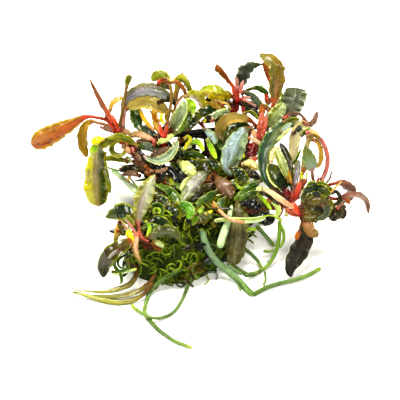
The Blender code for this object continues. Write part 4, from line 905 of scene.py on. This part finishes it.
        ("dim", 3.0, 0, (291.5, 182, 27), (289.5, 166, 31.5), (285, 152, 35.3), (280, 143, 37.7)),
        ("khaki", 1.0, 0, (291.5, 183, 27.6), (290, 177, 29.5), (288.5, 170, 31.6)),
        ("cream", 2.4, 0, (271, 163, 32.3), (273, 153, 35), (279, 146.5, 36.8)),
        ("pale", 0.7, 0, (268, 164, 32.3), (267, 172, 30.2), (271, 182, 27.6), (277.5, 187.5, 26)),
        ("maroon", 2.6, 0, (282, 189, 24.6), (286, 192, 24), (291, 196, 22.5)),
        ("pale", 1.8, 0, (263, 188, 24.6), (256, 189.5, 24.2)),
        ("dim", 1.5, 0, (261, 191.5, 22.5), (270, 197, 22), (279, 205, 20)),
        ("orange", 1.4, 0, (267.5, 199, 21.3), (272.5, 201.5, 20.8)),
        ("limpid", 2.2, 0, (268, 199, 19.8), (275, 203.5, 18.5), (278.5, 210, 17), (276, 218, 15.5)),
        ("lime", 1.5, 0, (257, 194, 21.8), (264.5, 200.5, 20.6), (271.5, 210, 18.4)),
        ("maroon", 1.1, 0, (283, 202.5, 19), (282, 210, 17), (279, 217, 15)),
        ("pale", 1.4, 0, (286, 216, 15.5), (287, 211, 17)),
        ("shade", 4.0, 0, (243, 198, 18.2), (252, 197, 18.8), (262, 202, 18), (272, 209, 16)),
    ],
    "leaf_tan_fold": [
        ("mauve", 1.8, 60, (284, 119, 40.5), (291, 114, 42), (300, 115, 42.5), (305, 120, 42), (310, 124, 41)),
        ("olive", 1.4, 20, (283, 122.5, 40.5), (292, 119, 41.5), (300, 119, 42)),
        ("pale", 1.5, 0, (277, 141, 36.8), (283, 135, 38.5), (291, 127.5, 40.5)),
        ("silver", 1.8, 0, (280, 133, 38.8), (285, 128, 40.2), (292, 123, 41.4)),
        ("slate", 3.2, 10, (292, 134, 37.3), (299, 128, 39.3), (308, 122.5, 41)),
        ("cream", 0.7, 0, (291, 132.5, 38.5), (298, 124.5, 41), (303.5, 120.5, 42.3)),
        ("cream", 0.7, 0, (300, 136, 38), (306, 129, 40), (313, 124.5, 41.5)),
        ("mauve", 2.5, 20, (302, 121, 41.2), (309, 124.5, 41.5), (314.5, 121, 42.5), (317.5, 111.5, 44.5)),
    ],
    "leaf_right_stalked": [
        ("green", 1.8, 10, (301, 136, 38.5), (308, 131, 40.5), (313, 134.5, 40)),
        ("stalked", 2.0, 0, (306, 133, 40.8), (312, 131.5, 41.6), (317, 136, 41), (320, 143, 39.3)),
        ("pink", 1.7, 20, (321.5, 180, 27.4), (326.5, 168, 32.2), (327.5, 157, 36), (324.5, 146.5, 39), (319, 139, 40.8)),
        ("cream", 1.4, 0, (307, 149, 36.3), (308, 141, 39), (313, 137.5, 40.5)),
        ("khaki", 2.3, 150, (312, 139, 40.5), (318, 143.5, 39.3), (320.5, 153, 36.8), (320, 162, 34), (316.5, 168, 31.8)),
    ],
    "rhizome_far_right": [
        ("red", 1.1, 0, (317, 192, 24.3), (317, 184, 26.7), (319, 177, 29)),
        ("pink", 1.1, 0, (320, 192, 24.3), (323, 180, 28.2), (326, 171, 31)),
        ("mauve", 0.8, 0, (321, 192, 24.3), (325, 185, 26.5), (330, 178, 28.7), (331.5, 170.5, 31)),
        ("wet", 3.6, 20, (302, 197, 23), (308, 191, 25.4), (317, 188.5, 26.5), (325, 190.5, 25.9), (329, 197, 24)),
        ("wet", 3.4, 0, (305, 197, 24), (313, 195, 24.7), (321, 196, 24.4), (327, 199, 23.6)),
        ("bronze", 3.4, 0, (300, 210, 18.8), (308, 212, 18.6), (316, 213, 18), (324, 214, 17)),
        ("black", 1.5, 0, (315, 193, 25.5), (322, 198, 24), (328.5, 198.5, 23.7)),
        ("muddy", 2.8, 0, (302, 204, 21), (305, 197, 23.5), (310, 192.5, 25.2)),
        ("bronze", 3.2, 10, (307, 197.5, 23.3), (318, 200, 23), (326, 205, 21.5), (328.5, 212, 19)),
        ("night", 2.8, 0, (311, 204, 21.5), (317, 206, 21), (323, 209.5, 19.8)),
        ("bronze", 3.6, 0, (299, 207, 19.5), (308, 206, 20.3), (316, 209, 19.5), (323, 213.5, 18)),
        ("slate", 2.3, 0, (321, 204, 22), (327, 210, 20), (325, 216, 18), (317, 220, 16.5)),
        ("bronze", 2.9, 0, (302, 213.5, 18), (308, 217, 17.3), (314, 218, 17), (316.5, 223, 15.5)),
        ("dim", 1.8, 20, (329, 206.5, 19.5), (338, 203, 20.3), (340.5, 197, 22), (336, 191.5, 23.5), (330.5, 194.5, 23)),
        ("mauve", 2.1, 0, (337, 209, 18.5), (342, 203, 20), (345.5, 197, 21.5)),
        ("orange", 1.8, 0, (345, 198.5, 21), (350.5, 203.5, 19.3)),
        ("dim", 5.0, 0, (345, 206, 18.7), (338, 212, 17.7), (330, 220, 15.8)),
        ("dim", 2.4, 0, (340, 207, 19), (344, 212, 17.5), (342, 219, 16)),
        ("night", 6.0, 0, (301, 208, 17), (313, 205, 17.8), (327, 201, 17.5)),
        ("amber", 0.9, 0, (328, 195, 24), (335, 188, 26), (342, 181, 28)),
        ("brown", 1.8, 0, (300, 231, 14), (297.5, 235, 13), (296.5, 240, 11.8)),
    ],
    "rhizome_front": [
        ("coral", 1.0, 0, (149, 241.5, 17), (145, 240, 17.5), (141, 236, 18.7), (139, 228, 20.4)),
        # A painted lilac glint on the dark leaf in front.
        ("lilac", 1.4, 0, (119, 250, 18.3), (114, 253, 17.2), (108.5, 258.5, 14.8)),
        ("husk", 2.1, 0, (139, 232, 19), (136, 242, 17.3), (136, 252, 14.7), (140.5, 263, 11.8)),
        ("yellow", 3.0, 0, (134.5, 242, 16.8), (131, 236.5, 18), (127, 230, 19.7)),
        ("khaki", 2.6, 0, (121, 220, 20), (118, 230, 17.5), (115, 241, 14.5)),
        ("bronze", 2.0, 0, (119, 221, 20.3), (121.5, 229, 18.4), (123.5, 236.5, 16.3)),
        ("amber", 1.8, 150, (118, 230, 18.3), (116, 236, 16.7), (114, 242, 15)),
        ("tan", 0.9, 0, (136, 237, 18), (128, 229, 19.5), (121, 220.5, 21)),
        ("tan", 0.8, 0, (136, 239, 17.5), (129, 232, 18.6), (122, 225, 19.5)),
        ("pink", 0.9, 0, (137, 236, 18.3), (131, 226, 20.5), (125, 219, 21.8)),
        ("green", 2.4, 0, (135, 228, 19.5), (129, 222, 20.3), (122, 219, 20.5)),
        ("olive", 1.6, 0, (134, 226, 20.3), (130, 219, 21.8), (126, 215, 22.5)),
        ("green", 1.4, 20, (128, 258, 13), (127, 268, 10.5), (119, 271, 9.5), (114.5, 264, 11), (119, 257, 12.7)),
        ("green", 1.4, 20, (112, 272, 8.5), (119, 273, 8.5), (121.5, 279, 6.8), (120.5, 284, 5)),
        ("dim", 2.0, 0, (133, 252, 14), (127, 248.5, 15), (120, 251, 14.3), (115, 257, 12.5)),
        ("dim", 1.6, 20, (132, 263, 10.5), (127, 271, 8.5), (122, 277, 6.5)),
        ("green", 1.0, 20, (131, 257, 12), (125, 255.5, 13), (119, 259, 12.3), (118, 265, 11), (122, 268, 10),
         (126, 264, 10.8)),
        ("lime", 1.4, 0, (145.5, 221, 21), (149.5, 228, 19.7), (147, 237, 18)),
        ("green", 3.6, 0, (141, 229, 18.5), (148, 227, 19.5), (156, 230, 19), (163, 236, 17.5)),
        ("wet", 4.2, 0, (148, 222, 19), (156, 220, 20), (165, 224, 19.5), (173, 231, 18)),
        ("sage", 2.0, 0, (153, 241, 16.7), (158, 243, 16.2), (164, 247, 15)),
    ],
    "leaf_low_lower": [
        ("ribbon", 2.0, 20, (152, 283, 4), (146.5, 291, 2.7), (137, 298.5, 1.6), (126, 302, 1.1), (113, 302, 1.1),
         (99, 299, 1.3), (84, 294.5, 2), (73, 291.5, 2.3)),

    ],
    "moss_cushion": [
        ("green", 2.2, 30, (150, 213, 18), (153, 206, 19.3), (160, 206, 19.3), (162, 212, 18), (158, 217, 17),
         (153, 215, 17.5)),
        ("lime", 1.3, 30, (154, 214, 18.8), (155, 209.5, 19.8), (159, 210, 19.8), (159, 214, 18.8)),
        ("wet", 4.4, 0, (163, 206, 18.6), (170, 209, 18.8), (176, 215, 18), (181, 222, 16.6)),
        ("wet", 3.4, 0, (156, 196, 18.8), (162, 199, 18.9), (170, 206, 18.4)),
        ("green", 3.8, 0, (160, 185, 19.2), (168, 190, 19.3), (175, 197, 18.6), (180, 207, 17.5)),
        ("leek", 3.9, 0, (176, 203, 20.2), (186, 206, 20.8), (190, 212, 20.2), (187.5, 219, 18.6)),
        ("yellow", 2.0, 0, (192, 216, 18.6), (189.5, 222, 17.5), (186.5, 228, 16.3)),
        ("muddy", 4.0, 0, (195, 224, 17), (200, 219, 18), (206, 216.5, 18.6), (212, 213, 18.8)),
        ("lime", 1.9, 0, (203, 207, 19.3), (200, 212, 18.8), (197.5, 217, 18)),
        ("yellow", 1.3, 0, (205.5, 214.5, 19), (212.5, 211, 19.3)),
        ("pale", 4.6, 0, (178, 161.5, 23.3), (183, 164.5, 23.6), (189, 169, 23.2), (195, 177.5, 21.5)),
        ("pale", 2.8, 0, (192, 176, 21.5), (186, 183, 20.8), (181, 191, 19.5)),
        ("amber", 1.3, 150, (221, 213, 19), (217, 207, 20), (213, 201, 21)),
        ("orange", 1.2, 0, (219, 212, 19), (216, 208, 19.8), (211, 204, 20.3)),
        ("black", 4.0, 0, (241, 205, 19.2), (249, 203.5, 19.8), (261, 208.5, 18)),
        ("black", 5.4, 0, (254, 219, 16.8), (263, 218, 17.2), (275, 220, 15.8)),
        ("lime", 0.6, 0, (216, 220.5, 18.8), (240, 219.3, 19.6), (256, 218.5, 18.9), (270, 215.5, 17.4), (281, 219.5, 15)),
        ("dim", 3.6, 0, (214, 183, 21.5), (206, 188, 21), (197, 196, 19.7), (190, 200, 18.7)),
        ("green", 3.2, 0, (218, 190, 20), (210, 196, 19.6), (202, 201, 18.8), (195, 206, 18)),
        ("green", 3.2, 0, (226, 197, 19), (221, 203, 18.5), (219, 210, 17.5), (220, 217, 16.3)),
        ("wet", 4.0, 0, (228, 193, 19.5), (233, 186, 21.2), (235, 179, 22.6)),
        ("shade", 3.4, 0, (237, 201, 18.8), (238, 207, 18.3), (239, 213, 17.5), (241, 219, 16.3)),
        ("lime", 1.4, 0, (246, 231, 13.6), (251, 229, 14), (257, 230, 13.5)),
        ("dim", 3.4, 0, (196, 158, 21.5), (203, 164, 21.6), (207, 173, 20.5)),
        ("wet", 3.6, 0, (205, 160, 21.5), (213, 164, 21.8), (222, 170, 21)),
    ],
}

# Stems and short roots without a solid of their own: look, radii in mm, spine.
SHORT_STEMS = [
    ("stem dark", (1.25, 1.2), [(168, 134, 27), (185, 133.5, 25), (205, 131.5, 24), (219, 130, 23.5)]),
    ("stem dark", (0.75, 0.75), [(205, 133, 24), (206, 145, 21), (208, 158, 17.5)]),
    ("stem red", (0.8, 0.6), [(240, 99, 34), (246, 105, 32), (246, 113, 29), (243, 118, 28)]),
    ("root mint", (1.3, 0.9), [(139, 193, 12), (132, 187, 10.5), (122, 178, 9), (112, 170, 8)]),
    ("root lime", (0.42, 0.35), [(132, 171, 15), (122, 171, 14), (112, 169, 12.5), (103, 166, 11)]),
    ("root lime", (0.4, 0.3), [(139, 189, 14), (134, 183, 14), (128, 175, 14)]),
    ("root mint", (0.5, 1.1, 1.4, 1.3), [(232, 205, 19.5), (229.5, 215, 16.8), (225.5, 228, 15), (221.5, 240, 13),
        (219.5, 248, 12)]),
    ("stem tan", (0.65, 0.6), [(245, 222.5, 19), (235, 221, 19.3), (226.5, 217, 19.6), (218, 209, 20)]),
    ("root green", (0.8, 0.7), [(256, 225, 13), (263, 233, 9.5), (269, 240, 6.5), (275, 247, 4)]),
    ("root lime", (0.6, 0.55), [(279.5, 224, 13), (283.3, 231, 11), (283.6, 240, 8.5), (280, 248, 6.3)]),
    ("root lime", (0.55, 0.45), [(263, 251, 4), (269, 251.5, 4.5), (275, 250, 5)]),
    ("root green", (0.7, 0.6), [(243, 248, 6), (250, 253, 4), (257, 260, 2.4), (262, 268, 1.2)]),
    ("root green", (0.5, 0.45), [(265, 271, 0.9), (265.5, 280, 0.6), (263, 285.5, 0.5)]),
    ("root teal", (0.6, 0.45), [(221, 262, 6), (230, 270, 3.8), (239, 278, 2.2), (245, 285, 1.1), (250, 293, 0.8)]),
    ("root teal", (0.5, 0.4), [(228, 265, 5), (236, 271, 3.5), (243, 274, 2.6)]),
    ("root green", (0.45, 0.4), [(238, 284, 1.2), (239.5, 288, 0.6), (241, 291, 0.5)]),
    ("root green", (0.8, 0.6), [(244, 276, 2), (251, 274, 2), (259, 272, 1.6)]),
    ("root pale", (0.5, 0.45), [(110, 271, 9), (116, 274, 8), (125, 272, 8.5), (137, 269, 10)]),
    ("root teal", (0.7, 0.5), [(196, 249, 8.5), (202, 256, 6.2), (209, 262, 4), (216, 267, 2)]),
    ("root teal", (0.6, 0.4), [(191, 254, 8), (196, 261, 5.5), (202, 266, 3.2), (207, 269.5, 1.6)]),
    ("root green", (0.5, 0.35), [(171, 268, 6.5), (163, 274, 4.6), (157, 281, 2.6), (150, 285, 1.3)]),
]


def stand_for(piece, node):
    """The piece rides on the plant and shows in place of the solid, which is hidden."""
    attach(piece, "root")
    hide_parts(node)


def grow_on(piece):
    """The piece rides on the plant beside the solids."""
    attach(piece, "root")


def build_leaves():
    for number, (node, look, width, shape, points) in enumerate(LEAVES):
        shell = Shell()
        add_blade(shell, places(points), width, look, seed=number + 1, **shape)
        stand_for(shell.make(node + "_fine"), node)


def build_stems():
    for number, (node, look, radii, points) in enumerate(STEMS):
        shell = Shell()
        knots = 0.16 if node.startswith("rhizome") else 0.05
        add_tube(shell, places(points), radii, look, sides=14, spacing=0.5, knots=knots, seed=number + 1)
        stand_for(shell.make(node + "_fine"), node)


def build_small_leaves():
    """The smaller leaves, joined in one object for each solid they grow on."""
    seed = 60
    for node, rows in SMALL_LEAVES.items():
        shell = Shell()
        for look, width, turn, *points in rows:
            add_blade(shell, places(points), width, look, turn=(turn, turn), ruffle=0.18 * width,
                      waves=2 + seed % 3, seed=seed, fineness=0.7)
            seed += 1
        grow_on(shell.make("small_leaves_on_" + node))


def build_short_stems():
    shell = Shell()
    for number, (look, radii, points) in enumerate(SHORT_STEMS):
        add_tube(shell, places(points), radii, look, sides=10, knots=0.08, seed=number + 30)
    grow_on(shell.make("short_stems"))


def build_scales():
    """Old leaf bases: short brown scales that cover the rhizomes on every side."""
    shell = Shell()
    looks = ["maroon", "brown", "brown", "dim", "dim", "rose", "tan", "night", "night"]
    for node, _, radii, points in STEMS:
        if not node.startswith("rhizome"):
            continue
        count = round(np.linalg.norm(np.diff(places(points), axis=0), axis=1).sum() * 1.1)
        shares = [(k + 0.5) / count for k in range(count)]
        route, tangents, _ = smooth_route(places(points), shares)
        for place, along in zip(route, tangents):
            outward = unit(np.cross(along, [rng.uniform(-1, 1) for _ in range(3)]))
            start = place + outward * radii[0] * 0.7
            reach = rng.uniform(2.2, 4.2)
            end = start + along * reach * 0.8 + outward * rng.uniform(0.3, 1.6)
            middle = (start + end) / 2 + outward * 0.5
            add_blade(shell, [start, middle, end], rng.uniform(1.3, 2.6), rng.choice(looks), cup=35,
                      ruffle=rng.uniform(0.1, 0.4), seed=rng.uniform(0, 99), fineness=0.35, toward=outward)
    grow_on(shell.make("rhizome_scales"))


def moss_reach(angle):
    """How far the cushion's outline lies from its centre at an angle."""
    arms = np.array(MOSS_OUTLINE) - MOSS_CENTRE
    bearings = np.arctan2(arms[:, 1], arms[:, 0])
    order = np.argsort(bearings)
    lengths = np.linalg.norm(arms, axis=1)
    return np.interp(angle, bearings[order], lengths[order], period=2 * math.pi)


def moss_point(angle, level, swell=1.0):
    """A point of the cushion's skin: level runs from 0 at the rim to 1 at the top."""
    reach = moss_reach(angle) * math.cos(level * math.pi / 2) ** MOSS_STEEPNESS * swell
    x = MOSS_CENTRE[0] + reach * math.cos(angle)
    y = MOSS_CENTRE[1] + reach * math.sin(angle)
    z = MOSS_RIM + (MOSS_HEIGHT - MOSS_RIM) * math.sin(level * math.pi / 2)
    return np.array([x, y, z])


def moss_outward(angle, level):
    """The direction out of the cushion at a point of its skin."""
    flat = np.array([math.cos(angle), math.sin(angle), 0.0])
    return unit(flat * math.cos(level * math.pi / 2) + np.array([0, 0, math.sin(level * math.pi / 2) + 0.1]))


def lumps(place):
    """Uneven mounds and pits, in mm, from a few crossing waves."""
    x, y, z = place
    return (0.55 * math.sin(0.61 * x + 0.3 * z) * math.cos(0.53 * y + 0.4)
            + 0.40 * math.sin(1.27 * x - 0.9 * y + 1.1) + 0.30 * math.cos(1.9 * y + 0.91 * x + z)
            + 0.25 * math.sin(3.1 * x + 2.3 * y) * math.sin(2.7 * z + 1.9 * x))


def build_moss():
    """The dark core of the tangle, uneven and pitted, under curls of moss and fine roots."""
    rings = 44
    sides = 150
    vertices = []
    for ring in range(rings + 1):
        level = max(ring - 1, 0) / rings
        for j in range(sides):
            angle = 2 * math.pi * j / sides
            place = moss_point(angle, level, 0.96)
            if ring == 0:
                place[2] = 0.05
            else:
                place = place + moss_outward(angle, level) * (lumps(place) - 0.6)
                place[2] = max(place[2], 0.05)
            vertices.append(place)
    shell = Shell()
    shell.add(np.array(vertices), ring_faces(rings + 1, sides), "moss deep", tone=0.4)
    stand_for(shell.make("moss_core"), "moss_cushion")


def curl(start, outward, length, bend):
    """A strand that leaves the skin and curls round over it."""
    axis = unit(outward + np.array([rng.uniform(-0.8, 0.8) for _ in range(3)]))
    heading = unit(np.cross(axis, [rng.uniform(-1, 1) for _ in range(3)]) + 0.35 * outward)
    step = length / 14
    place = start - 0.5 * outward
    points = [place]
    for _ in range(14):
        place = place + heading * step
        place[2] = max(place[2], 0.35)
        points.append(place)
        heading = unit(heading + np.cross(axis, heading) * bend * step - 0.06 * step * outward)
    return points


def build_curls():
    """Curls of moss and fine roots over the core, painted brighter in broad patches that stand for light catching the
    mounds.
    """
    shells = [Shell(), Shell()]
    for number in range(1000):
        angle = rng.uniform(0, 2 * math.pi)
        level = rng.uniform(0.0, 0.85) ** 1.3
        start = moss_point(angle, level, 0.97)
        # bright is a painted light level: broad waves and chance decide where the moss is painted lighter.
        bright = math.sin(0.23 * start[0] + 1) * math.cos(0.21 * start[1]) + rng.uniform(-0.6, 0.6)
        look = "moss lime" if bright > 0.5 else "moss strand" if bright > -0.7 else "moss deep"
        if start[1] < -12 and 0 < start[0] < 14:
            look = "moss teal" if bright > 0 else "moss deep"
        bend = rng.uniform(0.25, 0.85) * rng.choice((-1, 1))
        radius = rng.uniform(0.22, 0.48)
        points = curl(start, moss_outward(angle, level), rng.uniform(5, 12), bend)
        add_tube(shells[number % 2], points, (radius, radius, radius * 0.6), look, sides=6, spacing=0.6, seed=number)
    for name, shell in zip(("moss_curls_one", "moss_curls_two"), shells):
        grow_on(shell.make(name))


def build_filling_leaves():
    """Short leaves that fill the tangle all round, longer and more upright towards the back."""
    shell = Shell()
    choices = ["green", "green", "wet", "wet", "black", "black", "olive", "dim", "dim", "bronze", "shade"]
    for number in range(170):
        angle = rng.uniform(0, 2 * math.pi)
        level = rng.uniform(0.05, 0.95)
        start = moss_point(angle, level, 0.96)
        if start[0] > 3 and start[1] < 0:  # the large leaf in front hangs here
            continue
        at_back = ease((start[1] - 2) / 14)
        at_front = ease((-6 - start[1]) / 8)
        outward = moss_outward(angle, level)
        spin = angle + rng.uniform(-1.1, 1.1)
        lean = np.array([math.cos(spin), math.sin(spin), 0.0])
        length = rng.uniform(5, 9) + at_back * rng.uniform(3, 12)
        rise = np.array([0, 0, rng.uniform(0.25, 0.7) + at_back * rng.uniform(0.1, 0.5)])
        points = [start - outward * 0.8,
                  start + (outward * 0.45 + rise * 0.5 + lean * 0.15) * length * 0.4,
                  start + (outward * 0.3 + rise + lean * 0.45) * length * 0.68,
                  start + (outward * 0.2 + rise * 0.75 + lean * 0.95) * length]
        add_blade(shell, points, rng.uniform(1.8, 3.6) + at_back - 0.8 * at_front, rng.choice(choices), stalk=0.15,
                  turn=(rng.uniform(-30, 30), rng.uniform(-30, 30)), ruffle=rng.uniform(0.3, 0.8),
                  cup=rng.uniform(0, 25), seed=number + 300, fineness=0.45, toward=unit(outward + (0, 0, 1)))
    grow_on(shell.make("filling_leaves"))


def build_floor():
    reach = 2.0
    mesh = bpy.data.meshes.new("floor")
    mesh.from_pydata([(-reach, -reach, 0), (reach, -reach, 0), (reach, reach, 0), (-reach, reach, 0)], [],
                     [(0, 1, 2, 3)])
    floor = bpy.data.objects.new("floor", mesh)
    bpy.context.scene.collection.objects.link(floor)
    wires = Wiring("white table")
    wires.put(wires.shader.inputs["Base Color"],
              wires.ramp(wires.noise(0.004, 2.0), [(0.3, (0.87, 0.87, 0.87, 1)), (0.7, (0.91, 0.91, 0.91, 1))]))
    wires.shader.inputs["Roughness"].default_value = 0.8
    mesh.materials.append(wires.material)


def add_area_light(name, place, size, watts, colour):
    """A square lamp that looks at the clump; places are in metres."""
    data = bpy.data.lights.new(name, "AREA")
    data.size = size
    data.energy = watts
    data.color = colour
    lamp = bpy.data.objects.new(name, data)
    lamp.location = place
    x, y, z = np.array((0.0, 0.0, 0.02)) - place
    lamp.rotation_euler = (math.atan2(math.hypot(x, y), -z), 0.0, math.atan2(-x, y))
    bpy.context.scene.collection.objects.link(lamp)


def build_light():
    bpy.context.scene.view_settings.view_transform = "Standard"
    bpy.context.scene.view_settings.look = "Medium High Contrast"
    world = bpy.data.worlds.new("studio")
    world.use_nodes = True
    background = world.node_tree.nodes["Background"]
    background.inputs["Color"].default_value = (0.98, 0.99, 1.0, 1)
    background.inputs["Strength"].default_value = 0.18
    bpy.context.scene.world = world
    add_area_light("key", (-0.06, 0.14, 0.75), 0.30, 13.0, (1.0, 0.97, 0.86))
    add_area_light("fill front", (0.10, -0.62, 0.50), 0.2, 3.8, (1.0, 0.98, 0.88))
    add_area_light("fill left", (-0.60, -0.10, 0.45), 0.18, 2.6, (1.0, 0.98, 0.88))
    add_area_light("fill right", (0.60, 0.0, 0.45), 0.18, 1.8, (1.0, 0.98, 0.88))


def build_camera():
    data = bpy.data.cameras.new("camera")
    data.sensor_width = SENSOR_WIDTH
    data.lens = SENSOR_WIDTH * VIEW_DISTANCE / (MM_PER_PIXEL * PICTURE_SIZE)
    data.clip_start = 0.01
    camera = bpy.data.objects.new("camera", data)
    camera.location = EYE * MM
    camera.rotation_euler = (math.pi / 2 - VIEW_ELEVATION, 0.0, 0.0)
    bpy.context.scene.collection.objects.link(camera)
    bpy.context.scene.camera = camera


build_leaves()
build_stems()
build_small_leaves()
build_short_stems()
build_scales()
build_moss()
build_curls()
build_filling_leaves()
build_floor()
build_light()
build_camera()

bpy.context.view_layer.update()
